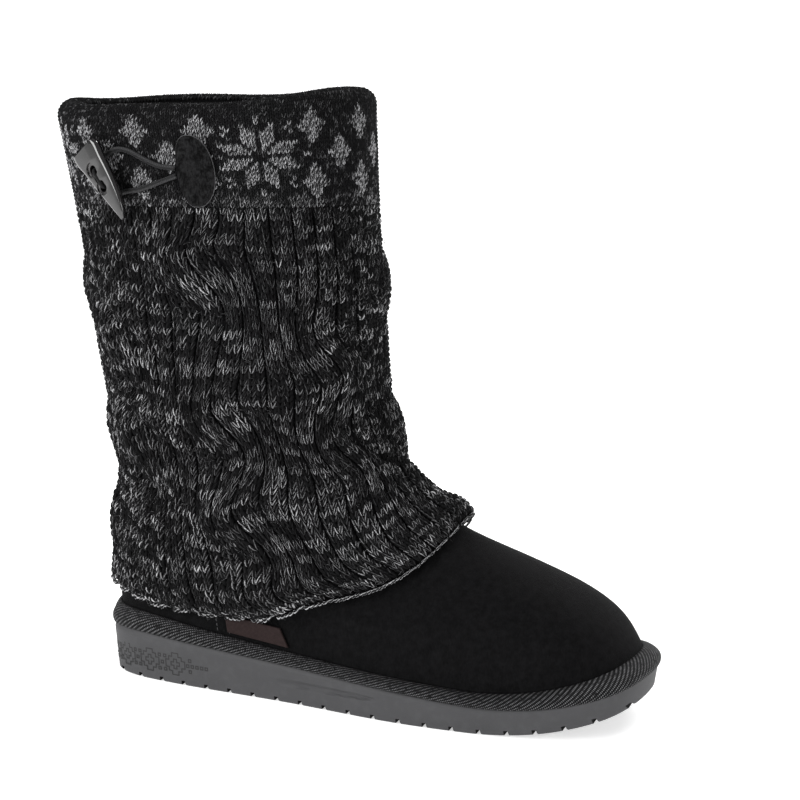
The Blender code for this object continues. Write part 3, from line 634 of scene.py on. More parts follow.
def read_table(table, share, theta):
    """A table over a share from 0 to 1 and a turn, read between its entries."""
    share, theta = np.broadcast_arrays(share, theta)
    up = np.clip(share, 0, 1) * (len(table) - 1)
    low = np.minimum(up.astype(int), len(table) - 2)
    up = (up - low)[..., None]
    round_it = (theta % (2 * math.pi)) / (2 * math.pi) * table.shape[1]
    left = np.floor(round_it).astype(int)
    side = (round_it - left)[..., None]
    left = left % table.shape[1]
    right = (left + 1) % table.shape[1]
    lower = table[low, left] * (1 - side) + table[low, right] * side
    upper = table[low + 1, left] * (1 - side) + table[low + 1, right] * side
    return lower * (1 - up) + upper * up


def read_off(table, outward, share, theta, off):
    """Points that stand off a table's surface, along its outward vectors."""
    return read_table(table, share, theta) + read_table(outward, share, theta) * off


def facing_out(table, steps_up=1, steps_round=3):
    """Unit vectors that face out of a surface given as a table of points."""
    count = len(table)
    rows = np.arange(count)
    around = np.roll(table, -steps_round, axis=1) - np.roll(table, steps_round, axis=1)
    up = table[np.minimum(rows + steps_up, count - 1)] - table[np.maximum(rows - steps_up, 0)]
    away = np.cross(around, up)
    return away / np.maximum(np.linalg.norm(away, axis=2, keepdims=True), 1e-12)


suede_knots = suede_rows()
TOP_LEVEL = len(suede_knots) - 1
LEVELS = np.linspace(0, TOP_LEVEL, LEVEL_STEPS * TOP_LEVEL + 1)
FORM = curve(np.arange(TOP_LEVEL + 1), suede_knots, LEVELS)
FORM_OUT = facing_out(FORM, 6)


def soft_fold(place, middle, width, depth):
    """A soft trough across the suede, centred on a line between two places."""
    start, end = (np.array(point) for point in middle)
    way = end - start
    share = np.clip(((place - start) @ way) / (way @ way), 0, 1)
    off = np.linalg.norm(place - start - share[..., None] * way, axis=-1)
    return -depth * np.exp(-((off / width) ** 2)) * np.sin(np.clip(share, 0.04, 0.96) * math.pi)


def nap_finish(name, tint, uneven_scale, contrast=2.3, spread=0.18):
    """Suede: short fibres that lie in patches, darker where they are brushed down."""
    space = started(name)
    patches = space.noise(uneven_scale, 4, 0.62)
    brushed = space.stretched(1.0, 1.0, 0.35).noise(uneven_scale * 5, 3, 0.6)
    fibres = space.noise(5200, 2, 0.7)
    tone = patches * 0.40 + brushed * 0.32 + fibres * 0.28
    dark = tuple(0.42 * part for part in tint)
    light = tuple(contrast * part for part in tint)
    colour = tone.steps(0.5 - spread, 0.5 + spread).blend(dark, light)
    return new_finish(
        name, 0.92, fibres * 0.7 + brushed * 0.5 + patches * 0.5, 0.00028, Base_Color=colour,
        Sheen_Weight=0.026, Sheen_Roughness=0.35, Specular_IOR_Level=0.06,
    )


def spaced(line, start, end, count):
    """Points spaced evenly on a line, from one length along it to another."""
    runs = runs_along(line)
    spots = np.linspace(start, end, count)
    return np.column_stack([np.interp(spots, runs, values) for values in line.T])


def softened(table, spread, rounds):
    """A table whose columns are spaced evenly by length and rubbed smooth, with ends kept."""
    lines = np.moveaxis(table, 1, 0)
    made = np.stack([spaced(line, 0, runs_along(line)[-1], len(line)) for line in lines], axis=1)
    for _ in range(rounds):
        made[1:-1] += spread * (made[:-2] + made[2:] - 2 * made[1:-1])
    return made


SOFT = softened(FORM[LEVEL_STEPS : LEVEL_STEPS * 10 + 1], 0.45, 260)
SOFT_OUT = facing_out(SOFT, 6)
suede_turns = even_angles(256)
seam_half = SEAM_WIDTH / 2 / (HALF * math.sin(SEAM_ANGLE))
levels = [np.linspace(0, 0.9, 3), np.linspace(1.0, 10.0, SOFT_LEVELS), np.linspace(10.2, TOP_LEVEL, 28)]
levels = np.concatenate(levels)
outer = read_table(FORM, levels[:, None] / TOP_LEVEL, suede_turns[None])
away = read_table(FORM_OUT, levels[:, None] / TOP_LEVEL, suede_turns[None])
soft_shares = np.linspace(0, 1, SOFT_LEVELS)[:, None]
outer[3 : 3 + SOFT_LEVELS] = read_table(SOFT, soft_shares, suede_turns[None])
away[3 : 3 + SOFT_LEVELS] = read_table(SOFT_OUT, soft_shares, suede_turns[None])
turn_off = np.abs(np.minimum(suede_turns, 2 * math.pi - suede_turns) - SEAM_ANGLE) / seam_half
seam = SEAM_RISE * np.exp(-(turn_off**4)) * (1 - 0.35 * np.exp(-((turn_off / 0.22) ** 2)))
rise = seam[None] * np.clip((levels[:, None] - 1) * 4, 0, 1)
above = np.clip((levels[:, None] - 1.2) / 1.2, 0, 1)
for line, width, depth in (
    (((0.064, -0.040, 0.030), (0.068, 0.000, 0.066)), 0.0060, 0.0008),
    (((0.082, -0.044, 0.028), (0.090, -0.006, 0.052)), 0.0050, 0.0006),
    (((0.052, 0.034, 0.034), (0.060, 0.004, 0.070)), 0.0060, 0.0008),
    (((-0.118, -0.022, 0.034), (-0.092, -0.030, 0.040)), 0.0045, 0.0006),
):
    rise = rise + soft_fold(outer, line, width, depth) * above
shell = outer + away * rise[..., None]
lining = (outer - away * SUEDE)[::-3]
shell_mesh = grid_mesh("suede_shell", np.concatenate([shell, lining]), wrap_up=True)
black_suede = nap_finish("black suede", (0.0028, 0.0028, 0.0030), 330, 2.1)
show("suede_shell", shell_mesh, black_suede, "upper")

# The seam's two rows of stitches: short black waxed threads that sink in at each end.


def leg_template(sides, rings):
    """Corners and sizes of the faces of a short closed tube, and its own UV at each corner."""
    corners = []
    sizes = []
    places = []
    for ring in range(rings - 1):
        for side in range(sides):
            here = ring * sides
            after = (side + 1) % sides
            corners += [here + side, here + after, here + sides + after, here + sides + side]
            low, high = ring / (rings - 1), (ring + 1) / (rings - 1)
            left, right = side / sides, (side + 1) / sides
            places += [(low, left), (low, right), (high, right), (high, left)]
            sizes.append(4)
    corners += list(range(sides))[::-1]
    places += [(0.0, side / sides) for side in range(sides)][::-1]
    corners += [(rings - 1) * sides + side for side in range(sides)]
    places += [(1.0, side / sides) for side in range(sides)]
    sizes += [sides, sides]
    return np.array(corners), np.array(sizes), np.array(places)


def joined_tubes(name, points, sides, rings, tone=None):
    """Many short closed tubes in one mesh, each with its own cell in the bake's map."""
    corners, sizes, places = leg_template(sides, rings)
    copies, count = points.shape[:2]
    mesh = bpy.data.meshes.new(name)
    mesh.vertices.add(copies * count)
    mesh.vertices.foreach_set("co", points.reshape(-1))
    shift = np.arange(copies)[:, None]
    vertex = (corners[None] + count * shift).reshape(-1)
    starts = (np.concatenate([[0], np.cumsum(sizes)[:-1]])[None] + len(corners) * shift).reshape(-1)
    mesh.loops.add(len(vertex))
    mesh.loops.foreach_set("vertex_index", vertex.astype(np.int32))
    mesh.polygons.add(len(starts))
    mesh.polygons.foreach_set("loop_start", starts.astype(np.int32))
    mesh.update(calc_edges=True)
    cells = math.ceil(math.sqrt(copies))
    cell = np.stack([np.arange(copies) % cells, np.arange(copies) // cells], axis=-1)
    atlas = (cell[:, None] + 0.06 + 0.88 * places[None]) / cells
    mesh.uv_layers.new(name="OFBake").data.foreach_set("uv", atlas.reshape(-1))
    own = np.broadcast_to(places[None], (copies, *places.shape))
    mesh.uv_layers.new(name="Yarn").data.foreach_set("uv", np.ascontiguousarray(own).reshape(-1))
    if tone is not None:
        shades = mesh.attributes.new("tone", "FLOAT_VECTOR", "POINT")
        shades.data.foreach_set("vector", np.repeat(tone, count, axis=0).reshape(-1))
    return mesh


stitch_points = []
for side_angle in (SEAM_ANGLE, 2 * math.pi - SEAM_ANGLE):
    for offset in (-1, 1):
        for level in np.arange(1.15, 9.0, 0.16):
            middle = read_table(FORM, level / TOP_LEVEL, side_angle + offset * seam_half * 1.9)
            next_up = read_table(FORM, (level + 0.03) / TOP_LEVEL, side_angle + offset * seam_half * 1.9)
            out = read_table(FORM_OUT, level / TOP_LEVEL, side_angle + offset * seam_half * 1.9)
            way = (next_up - middle) / np.linalg.norm(next_up - middle)
            side = np.cross(out, way)
            rings = []
            for along, size, sink in ((-1, 0.5, 0.00035), (-0.45, 1, 0), (0.45, 1, 0), (1, 0.5, 0.00035)):
                centre = middle + way * along * 0.0010 + out * (0.00012 - sink)
                for step in range(6):
                    angle = 2 * math.pi * step / 6
                    rings.append(centre + 0.00032 * size * (side * math.cos(angle) + out * math.sin(angle)))
            stitch_points.append(rings)
seam_thread = grained(
    "seam thread", 3000, (2,), (0.010, 0.010, 0.010), (0.030, 0.030, 0.032), 0.55, 0.00004,
)
show("seam_stitches", joined_tubes("seam_stitches", np.array(stitch_points), 6, 4), seam_thread)

# The insole: a flat sock of dark fleece glued in on the sole.
sock_edge = last_ring(around, -SUEDE - 0.0007)
sock_in = last_ring(around, -SUEDE - 0.0022)
floor_height = sole_top(sock_edge[:, 0]) + CLEARANCE
sock_rows = [
    raised(sock_in, floor_height), raised(sock_edge, floor_height + 0.0006),
    raised(sock_edge, floor_height + 0.0030), raised(sock_in, floor_height + 0.0040),
]
fleece = grained(
    "fleece", 900, (4, 0.7), (0.028, 0.028, 0.029), (0.085, 0.085, 0.088), 0.95, 0.0009, (0.3, 0.7),
    Specular_IOR_Level=0.1,
)
show("fleece_sock", grid_mesh("fleece_sock", sock_rows, capped=True), fleece, "insole")

# The knit sleeve's wall: a marled rib tube that hangs on the collar, rolled over the rim
# and tucked in. This is the dark ground of the yarn, with the ribs and cables as relief.
KNIT = 0.0040
HEM_LEVEL = 7.25
HEM_SIDE_DROP = 0.9
BAND_FOOT = 0.229
CABLE_SLOPE = 0.53
RIB_COLUMNS = 120
SLEEVE_SLACK = (
    (0.00, 0.0056, 0.0076, 0.0060), (0.04, 0.0056, 0.0092, 0.0088), (0.11, 0.0056, 0.0098, 0.0088),
    (0.25, 0.0053, 0.0088, 0.0066), (0.45, 0.0052, 0.0076, 0.0056), (0.70, 0.0056, 0.0062, 0.0062),
    (0.90, 0.0062, 0.0058, 0.0070), (1.00, 0.0068, 0.0056, 0.0086),
)
CROSSINGS = ((0.722, 0.468, 0.300), (0.593, 0.425))
RIB_PULL = 0.0067
ROW_TILT = 0.0050
RIB_ROUND = 0.0025
GROUND_DEPTH = 0.0011
BODY_LENGTH = 0.175


def slack(level, theta):
    share = (level - HEM_LEVEL) / (TOP_LEVEL - HEM_LEVEL)
    read = curve([row[0] for row in SLEEVE_SLACK], [row[1:] for row in SLEEVE_SLACK], share)
    back, side, front = np.moveaxis(read, -1, 0)
    ends = (back * (1 + np.cos(theta)) + front * (1 - np.cos(theta))) / 2
    return side * np.sin(theta) ** 2 + ends * np.cos(theta) ** 2


def crossings(theta, height):
    """For each rope crossing, how far a point lies across and up from its middle."""
    for cable in range(8):
        middle = 2 * math.pi * (0.272 + cable / 8)
        turn = (theta - middle + math.pi) % (2 * math.pi) - math.pi
        for share in CROSSINGS[cable % 2]:
            yield turn * COLLAR_LENGTH / 2, height - share * COLLAR_HEIGHT


def strand_axes(across, up):
    run = across * math.cos(CABLE_SLOPE) - up * math.sin(CABLE_SLOPE)
    off = across * math.sin(CABLE_SLOPE) + up * math.cos(CABLE_SLOPE)
    return run, off


def cable_relief(theta, height):
    rise = 0.0
    for across, up in crossings(theta, height):
        run, off = strand_axes(across, up)
        rise = rise + 0.0030 * np.exp(-((off / 0.0110) ** 2) - (run / 0.0265) ** 4)
    return rise


def strand_edges(theta, height):
    """The deep grooves along both edges of each strand."""
    fall = 0.0
    for across, up in crossings(theta, height):
        run, off = strand_axes(across, up)
        fall = fall - 0.0020 * np.exp(-(((np.abs(off) - 0.0128) / 0.0028) ** 2) - (run / 0.0250) ** 4)
    return fall


def rib_shift(theta, height):
    """How far the ribs are pulled round where strands cross: to the left above a crossing,
    to the right below it."""
    shift = 0.0
    for across, up in crossings(theta, height):
        lift = up / 0.0140
        pull = lift * np.exp(0.5 - lift**2 / 2)
        shift = shift - RIB_PULL * pull * np.exp(-((across / 0.0200) ** 2))
    return shift / (COLLAR_LENGTH / 2)


def row_lift(theta, height):
    """How far the rows are tilted where strands cross, up to the right, square to the strand."""
    lift = 0.0
    for across, up in crossings(theta, height):
        side = across / 0.0125
        lift = lift + ROW_TILT * side * np.exp(0.5 - side**2 / 2) * np.exp(-((up / 0.0150) ** 2))
    return lift


def swirled(share, theta):
    """A share up the body and a turn, moved as the crossing strands pull them."""
    height = read_table(BODY, share, theta)[..., 2]
    calm = np.clip(share / 0.14, 0, 1) * np.clip((1 - share) / 0.08, 0, 1)
    return share + calm * row_lift(theta, height) / BODY_LENGTH, theta + calm * rib_shift(theta, height)


sleeve_levels = np.linspace(HEM_LEVEL, TOP_LEVEL, 420)[:, None]
up_share = (sleeve_levels - HEM_LEVEL) / (TOP_LEVEL - HEM_LEVEL)
lower = sleeve_levels - HEM_SIDE_DROP * (1 - up_share) ** 3 * np.sin(TURN[None]) ** 2
ground = read_table(FORM, lower / TOP_LEVEL, TURN[None])
ground_out = read_table(FORM_OUT, lower / TOP_LEVEL, TURN[None])
ground_out /= np.linalg.norm(ground_out, axis=2, keepdims=True)
stand_off = slack(sleeve_levels + 0 * TURN[None], TURN[None]) + cable_relief(TURN[None], ground[..., 2])
SLEEVE = ground + ground_out * stand_off[..., None]
SLEEVE_OUT = ground_out

rim_out = FORM_OUT[-1].copy()
rim_out[:, 2] = 0
rim_out /= np.linalg.norm(rim_out, axis=1, keepdims=True)
inner_off = -SUEDE - 0.0010 - KNIT
outer_off = slack(np.full(TURNS, float(TOP_LEVEL)), TURN)
over = []
for angle in np.linspace(0, math.pi, 22)[1:-1]:
    off = (outer_off + inner_off) / 2 + (outer_off - inner_off) / 2 * math.cos(angle)
    point = FORM[-1] + rim_out * off[:, None]
    point[:, 2] += 0.0072 * math.sin(angle)
    over.append(point)
fold = 0.032 / (COLLAR_HEIGHT * (0.992 - 0.800))
tucked = np.linspace(TOP_LEVEL, TOP_LEVEL - fold, 40)[:, None]
inside = read_off(FORM, FORM_OUT, tucked / TOP_LEVEL, TURN[None], inner_off)
WHOLE = np.concatenate([SLEEVE, np.array(over), inside])
near_rim = soft_step(WHOLE[..., 2], 0.252, 0.276)
WHOLE[..., 2] += near_rim * (0.0006 * np.sin(5 * TURN + 0.40) - 0.0012 * np.maximum(np.sin(TURN), 0) ** 2)


def by_length(table, low_height, count, rest):
    """A table's rows spaced evenly by their length, below a height or from it to the end."""
    made = []
    for line in np.moveaxis(table, 1, 0):
        runs = runs_along(line)
        at = np.argmax(line[:, 2] >= low_height)
        border = np.interp(low_height, line[at - 1 : at + 1, 2], runs[at - 1 : at + 1])
        ends = (border, runs[-1]) if rest else (0.0, border)
        made.append(spaced(line, *ends, count))
    return np.stack(made, axis=1)


BODY = by_length(WHOLE, BAND_FOOT, 260, False)
BAND = by_length(WHOLE, BAND_FOOT, 180, True)
BODY_OUT = facing_out(BODY, 2)
BAND_OUT = facing_out(BAND, 2)


def rib_profile(column):
    """The round back of a rib three columns wide, and the groove on each side of it."""
    across = (column % 3 - 1.5) / 1.56
    return RIB_ROUND * (np.sqrt(np.maximum(0.0, 1 - across**2)) - 1)


wall_turns = even_angles(240)
body_shares = np.linspace(0, 1, 84)[:, None]
lifted, pulled = swirled(body_shares, wall_turns[None])
spot = read_table(BODY, lifted, pulled)
spot_out = read_table(BODY_OUT, lifted, pulled)
column = wall_turns[None] / (2 * math.pi) * RIB_COLUMNS + 0 * body_shares
depth = rib_profile(column) - 0.0016 + strand_edges(pulled, spot[..., 2])
fade = np.clip((body_shares - 0.985) / 0.015, 0, 1)
depth = np.maximum(depth, -0.0036) * (1 - fade) - GROUND_DEPTH * fade
body_wall = spot + spot_out * depth[..., None]
band_shares = np.linspace(0.01, 1, 37)[:, None]
band_wall = read_off(BAND, BAND_OUT, band_shares, wall_turns[None], -GROUND_DEPTH)
back_band = read_off(BAND, BAND_OUT, band_shares[::-4], wall_turns[None], -KNIT)
back_body = read_off(BODY, BODY_OUT, body_shares[::-4], wall_turns[None], -KNIT)
wall_rows = np.concatenate([body_wall, band_wall, back_band, back_body])
wall_mesh = grid_mesh("knit_wall", wall_rows, wrap_up=True)
knit_ground = grained(
    "knit ground", 1500, (3, 0.6), (0.0020, 0.0020, 0.0022), (0.0085, 0.0085, 0.0090), 0.95, 0.0005,
    (0.45, 0.75), Specular_IOR_Level=0.05,
)
show("knit_wall", wall_mesh, knit_ground, "knit_sleeve")

# The ribs and cables of the sleeve: chunky stocking stitches of a black yarn plied with a
# pale grey one, which comes to the face in flecks and in uneven rows.
BODY_ROWS = 62
COLUMN_WIDTH = 0.0035
ROW_HEIGHT = 0.0030
rng = np.random.default_rng(11)


def stitch_legs(sides, rings, width, height, thick, sink):
    """Both legs of one stitch, in metres: across, up and out from the cloth's face."""
    legs = []
    for side in (-1, 1):
        points = []
        for ring in range(rings):
            share = ring / (rings - 1)
            across = side * width * (0.075 + 0.345 * share**0.85)
            up = height * (-0.62 + 1.36 * share)
            arch = math.sin(math.pi * (0.08 + 0.84 * share))
            out = -sink * (1 - arch) - thick * 0.42
            radius = thick / 2 * (0.62 + 0.38 * arch)
            lean = math.atan2(side * width * 0.345, height * 1.36)
            for step in range(sides):
                angle = 2 * math.pi * step / sides - math.pi / 2
                flat = radius * math.cos(angle) * 1.06
                off = out + radius * math.sin(angle)
                points.append((across + flat * math.cos(lean), up - flat * math.sin(lean), off))
        legs.append(points)
    return np.array(legs)


def yarn_finish(name, ground, pale, ply, bright, spread):
    """Plied yarn: one pale strand winds round a dark one, with loose fibres over both."""
    place = started(name, uv="Yarn")
    fibre_space = place.node("ShaderNodeTexCoord", output=3)
    shade = place.node("ShaderNodeAttribute", {"attribute_name": "tone"}, output=1)
    tone = shade.part("X")
    seed = shade.part("Y")
    winding = place.part("Y") * ply + place.part("X") * 0.45 + seed * 7.0
    strand = place.math("SINE", winding * (2 * math.pi)) * 0.5 + 0.5
    fibres = fibre_space.noise(1900, 2, 0.7)
    hairs = fibre_space.stretched(1.0, 1.0, 0.35).noise(4200, 1, 0.5)
    line = (strand + tone * spread).steps(0.72, 1.12) * fibres.steps(0.34, 0.56)
    fleck = line * (tone * bright) + hairs.steps(0.55, 0.75) * tone * 0.22
    colour = fleck.math("MINIMUM", fleck, 1.0).blend(ground, pale)
    height = strand * 0.6 + fibres * 0.6 + hairs * 0.3
    return new_finish(name, 0.93, height, 0.00030, Base_Color=colour, Specular_IOR_Level=0.10)


def row_noise(rows, columns, waves):
    """Smooth noise along each row that closes round the sleeve, different in every row."""
    turn = np.arange(columns) / columns * 2 * math.pi
    made = np.zeros((rows, columns))
    for wave in waves:
        height = rng.normal(size=(rows, 1))
        made += height * np.cos(wave * turn[None] + rng.uniform(0, 2 * math.pi, (rows, 1)))
    return made / math.sqrt(len(waves) / 2)


def laid_on_body(local, column, row, lean):
    """Puts stitches on the sleeve: local points, then each stitch's column and row."""
    middle = 3 * np.floor(column / 3)[:, None, None] + 1.5
    inside = column[:, None, None] + 0.5 + local[..., 0] / COLUMN_WIDTH - middle
    share = (row[:, None, None] + 0.6 + local[..., 1] / ROW_HEIGHT) / BODY_ROWS
    theta = (middle + inside * 0.93) / RIB_COLUMNS * 2 * math.pi + lean
    below = np.minimum(share, 0) * 0.18
    share, theta = swirled(share, theta)
    spot = read_table(BODY, share, theta)
    out = read_table(BODY_OUT, share, theta)
    round_back = RIB_ROUND * (np.sqrt(np.maximum(0.0, 1 - (inside / 1.62) ** 2)) - 1)
    depth = local[..., 2] + round_back + strand_edges(theta, spot[..., 2])
    spot[..., 2] += below
    return spot + out * depth[..., None]


def stitch_grid(first, columns, rows, template):
    """The column and the row of each stitch in a strip of knitting, and a copy of it for each."""
    column, row = np.meshgrid(np.arange(first, first + columns), np.arange(rows))
    column = column.reshape(-1)
    local = np.broadcast_to(template[None], (len(column), *template.shape)).copy()
    return column, row.reshape(-1), local


def leg_tones(chart, row, column, uneven):
    """Each leg's share of pale yarn, and a number of its own that turns its ply."""
    shade = np.repeat(chart[row, column], 2) + rng.normal(size=2 * len(row)) * uneven
    return np.column_stack([np.clip(shade, 0, 1), rng.uniform(size=len(shade)), np.zeros(len(shade))])


marl = row_noise(BODY_ROWS, RIB_COLUMNS, range(3, 26)) * 0.15 + rng.normal(size=(BODY_ROWS, 1)) * 0.08 + 0.13
marl += rng.normal(size=marl.shape) * 0.13
marl[:24] -= np.linspace(0.05, 0, 24)[:, None]
marl[:3] += 0.14
marl = np.clip(marl, 0.03, 0.90)
legs = stitch_legs(4, 4, COLUMN_WIDTH, ROW_HEIGHT, 0.00160, 0.0011)
marled_yarn = yarn_finish("marled yarn", (0.0044, 0.0044, 0.0047), (0.44, 0.44, 0.45), 3.0, 1.9, 0.25)
for third in range(3):
    columns, rows, local = stitch_grid(RIB_COLUMNS // 3 * third, RIB_COLUMNS // 3, BODY_ROWS, legs)
    local *= rng.uniform(0.94, 1.06, (len(columns), 2, 1, 1))
    local[..., 2] += rng.normal(size=(len(columns), 2, 1)) * 0.00012
    lean = rng.normal(size=(len(columns), 1, 1)) * 0.0012
    points = laid_on_body(local, columns.astype(float), rows.astype(float), lean)
    points = points.reshape(-1, legs.shape[1], 3)
    name = f"rib_stitches_{third}"
    tone = leg_tones(marl, rows, columns, 0.06)
    show(name, joined_tubes(name, points, 4, 4, tone), marled_yarn)

# The hem's cast-on edge: one chain of paler yarn that runs along it in small scallops.
CHAIN_LOOPS = 2 * RIB_COLUMNS
loop_rings = []
for share in (0, 0.33, 0.67, 1):
    arch = math.sin(math.pi * (0.1 + 0.8 * share))
    radius = 0.00085 * (0.6 + 0.4 * arch)
    for angle in even_angles(6):
        up = ROW_HEIGHT * (-0.95 - 0.22 * arch) + radius * math.cos(angle)
        off = -0.0011 + 0.0006 * arch + radius * math.sin(angle)
        loop_rings.append(((share - 0.5) * COLUMN_WIDTH * 0.66, up, off))
chain = np.tile(np.array(loop_rings), (CHAIN_LOOPS, 1, 1, 1))
chain_column = np.arange(CHAIN_LOOPS) / 2 - 0.25
chain_points = laid_on_body(chain, chain_column, np.zeros(CHAIN_LOOPS), np.zeros((CHAIN_LOOPS, 1, 1)))
chain_points = chain_points.reshape(-1, len(loop_rings), 3)
pale = rng.uniform(0.45, 0.85, CHAIN_LOOPS)
chain_tone = np.column_stack([pale, rng.uniform(size=CHAIN_LOOPS), np.zeros(CHAIN_LOOPS)])
show("hem_chain", joined_tubes("hem_chain", chain_points, 6, 4, chain_tone), marled_yarn)

# The yarn's loose fibres: short fine hairs that stand off the knit and blur its outline.
hairs = 4200
hair_theta = rng.uniform(0, 2 * math.pi, hairs)
hair_share = rng.uniform(-0.01, 1, hairs)
root = read_table(BODY, *swirled(hair_share, hair_theta))
hair_out = read_table(BODY_OUT, *swirled(hair_share, hair_theta))
sideways = np.cross(hair_out, rng.normal(size=(hairs, 3)))
sideways /= np.linalg.norm(sideways, axis=1, keepdims=True)
long = rng.uniform(0.0016, 0.0038, (hairs, 1))
rise = rng.uniform(0.25, 1.0, (hairs, 1))
hair_points = []
for share, thin in ((0.0, 1.0), (0.55, 0.8), (1.0, 0.25)):
    middle = root + hair_out * (0.0001 + long * rise * share * (1 - 0.35 * share)) + sideways * long * share
    other = np.cross(sideways, hair_out)
    for step in range(3):
        angle = 2 * math.pi * step / 3
        hair_points.append(middle + 0.000045 * thin * (math.cos(angle) * other + math.sin(angle) * hair_out))
hair_points = np.stack(hair_points, axis=1)
loose_fibres = grained(
    "loose fibres", 300, (1,), (0.010, 0.010, 0.010), (0.22, 0.22, 0.225), 0.8, None, (0.45, 0.62),
    Specular_IOR_Level=0.1,
)
show("knit_fuzz", joined_tubes("knit_fuzz", hair_points, 3, 3), loose_fibres)

# The fair-isle band: fine stocking stitch with a Nordic star and rows of small diamonds in
# grey on black, rolled over the collar's rim.
BAND_COLUMNS = 208
BAND_ROWS = 34
FINE_WIDTH = 0.00207
FINE_HEIGHT = 0.00172
STAR_COLUMN = 72
REPEAT = 52
DIAMOND = 3.7


def star(across, up):
    """The common eight-pointed star: each arm is a pair of leaning petals."""
    across, up = abs(across), abs(up)
    tall = 1 <= across <= 3 and across + 1 <= up <= across + 5
    wide = 1 <= up <= 3 and up + 1 <= across <= up + 5
    speck = (across, up) in ((6, 7), (7, 6), (7, 8), (0, 9), (0, 10), (10, 0), (11, 0))
    return tall or wide or speck


def in_motif(column, row):
    along = (column - STAR_COLUMN + REPEAT // 2) % REPEAT - REPEAT // 2
    if star(along, row - 13):
        return True
    diamonds = ((12, 6), (12, 20), (26, 6), (26, 20), (19, 13))
    return any(abs(abs(along) - middle) + 0.9 * abs(row - level) <= DIAMOND for middle, level in diamonds)


band_length = np.linalg.norm(np.diff(BAND, axis=0), axis=2).sum(axis=0).mean()
fine_legs = stitch_legs(4, 3, FINE_WIDTH, FINE_HEIGHT, 0.00098, 0.0005)
fair_yarn = yarn_finish("fair isle yarn", (0.0058, 0.0058, 0.0062), (0.38, 0.38, 0.39), 2.0, 1.15, 0.62)
fair_tone = np.full((BAND_ROWS, BAND_COLUMNS), 0.055)
for row in range(BAND_ROWS):
    for column in range(BAND_COLUMNS):
        if in_motif(column, row):
            fair_tone[row, column] = 0.76
marled_foot = np.array([0.34, 0.30, 0.20, 0.08])
fair_tone[:4] += marled_foot[:, None] * rng.uniform(0, 1.6, (4, BAND_COLUMNS))
fair_tone += row_noise(BAND_ROWS, BAND_COLUMNS, range(4, 40)) * 0.045
fair_tone += rng.normal(size=fair_tone.shape) * 0.08
for half in range(2):
    columns, rows, local = stitch_grid(BAND_COLUMNS // 2 * half, BAND_COLUMNS // 2, BAND_ROWS, fine_legs)
    local[..., 2] += rng.normal(size=(len(columns), 2, 1)) * 0.00006
    along = columns[:, None, None] + 0.5 + local[..., 0] / FINE_WIDTH
    share = (rows[:, None, None] + 0.6) * FINE_HEIGHT / band_length + local[..., 1] / band_length
    theta = along / BAND_COLUMNS * 2 * math.pi + rng.normal(size=(len(columns), 1, 1)) * 0.0006
    points = read_off(BAND, BAND_OUT, share, theta, local[..., 2:])
    tone = leg_tones(fair_tone, rows, columns, 0.05)
    name = f"band_stitches_{half}"
    points = points.reshape(-1, fine_legs.shape[1], 3)
    show(name, joined_tubes(name, points, 4, 3, tone), fair_yarn)

# The toggle: a polished black horn, flat in front and round behind, with a shallow
# figure-eight hollow round its two holes. It stands off the knit on its thread.
TOGGLE_LENGTH = 0.0370
TOGGLE_WIDTH = 0.0168
TOGGLE_DEPTH = 0.0062
LOOP = 0.0023
STANDOFF = LOOP + 3 * CLEARANCE
HOLE_SPACING = 0.0094
TOGGLE_SECTIONS = (
    (0.000, 0.94, 0.90, 0.07), (0.025, 1.00, 1.00, 0.07), (0.250, 0.90, 1.00, 0.09),
    (0.480, 0.76, 0.96, 0.11), (0.680, 0.57, 0.86, 0.12), (0.840, 0.37, 0.70, 0.11),
    (0.950, 0.20, 0.48, 0.09), (1.000, 0.08, 0.24, 0.07),
)
TOGGLE_SECTION = (
    (-0.37, 1.00), (0.00, 1.00), (0.37, 1.00), (0.44, 0.965), (0.482, 0.87), (0.50, 0.72), (0.47, 0.52),
    (0.40, 0.33), (0.32, 0.18), (0.22, 0.08), (0.11, 0.02), (0.00, 0.00), (-0.11, 0.02), (-0.22, 0.08),
    (-0.32, 0.18), (-0.40, 0.33), (-0.47, 0.52), (-0.50, 0.72), (-0.482, 0.87), (-0.44, 0.965),
)


def on_sleeve(turn, height, off):
    """A point standing off the knit, and the way that faces out there."""
    theta = math.radians(turn)
    column = read_table(SLEEVE, np.linspace(0, 1, 900), np.full(900, theta))
    share = np.interp(height, column[:, 2], np.linspace(0, 1, 900))
    away = read_table(SLEEVE_OUT, share, theta)
    away = away / np.linalg.norm(away)
    return Vector(read_table(SLEEVE, share, theta) + away * off), Vector(away)


def toggle_frame():
    place, away = on_sleeve(67.7, 0.2422, STANDOFF)
    forward = Vector((0, 0, 1)).cross(away).normalized()
    down = forward.cross(away).normalized()
    down = down if down.z < 0 else -down
    lean = math.radians(35)
    along = down * math.cos(lean) + forward * math.sin(lean)
    across = away.cross(along)
    across = across if across.x > 0 else -across
    made = Matrix((along, across, away)).transposed().to_4x4()
    made.translation = place
    return made


def drum(radius, depth, place):
    bpy.ops.mesh.primitive_cylinder_add(vertices=40, radius=radius, depth=depth, location=place)
    return bpy.context.object


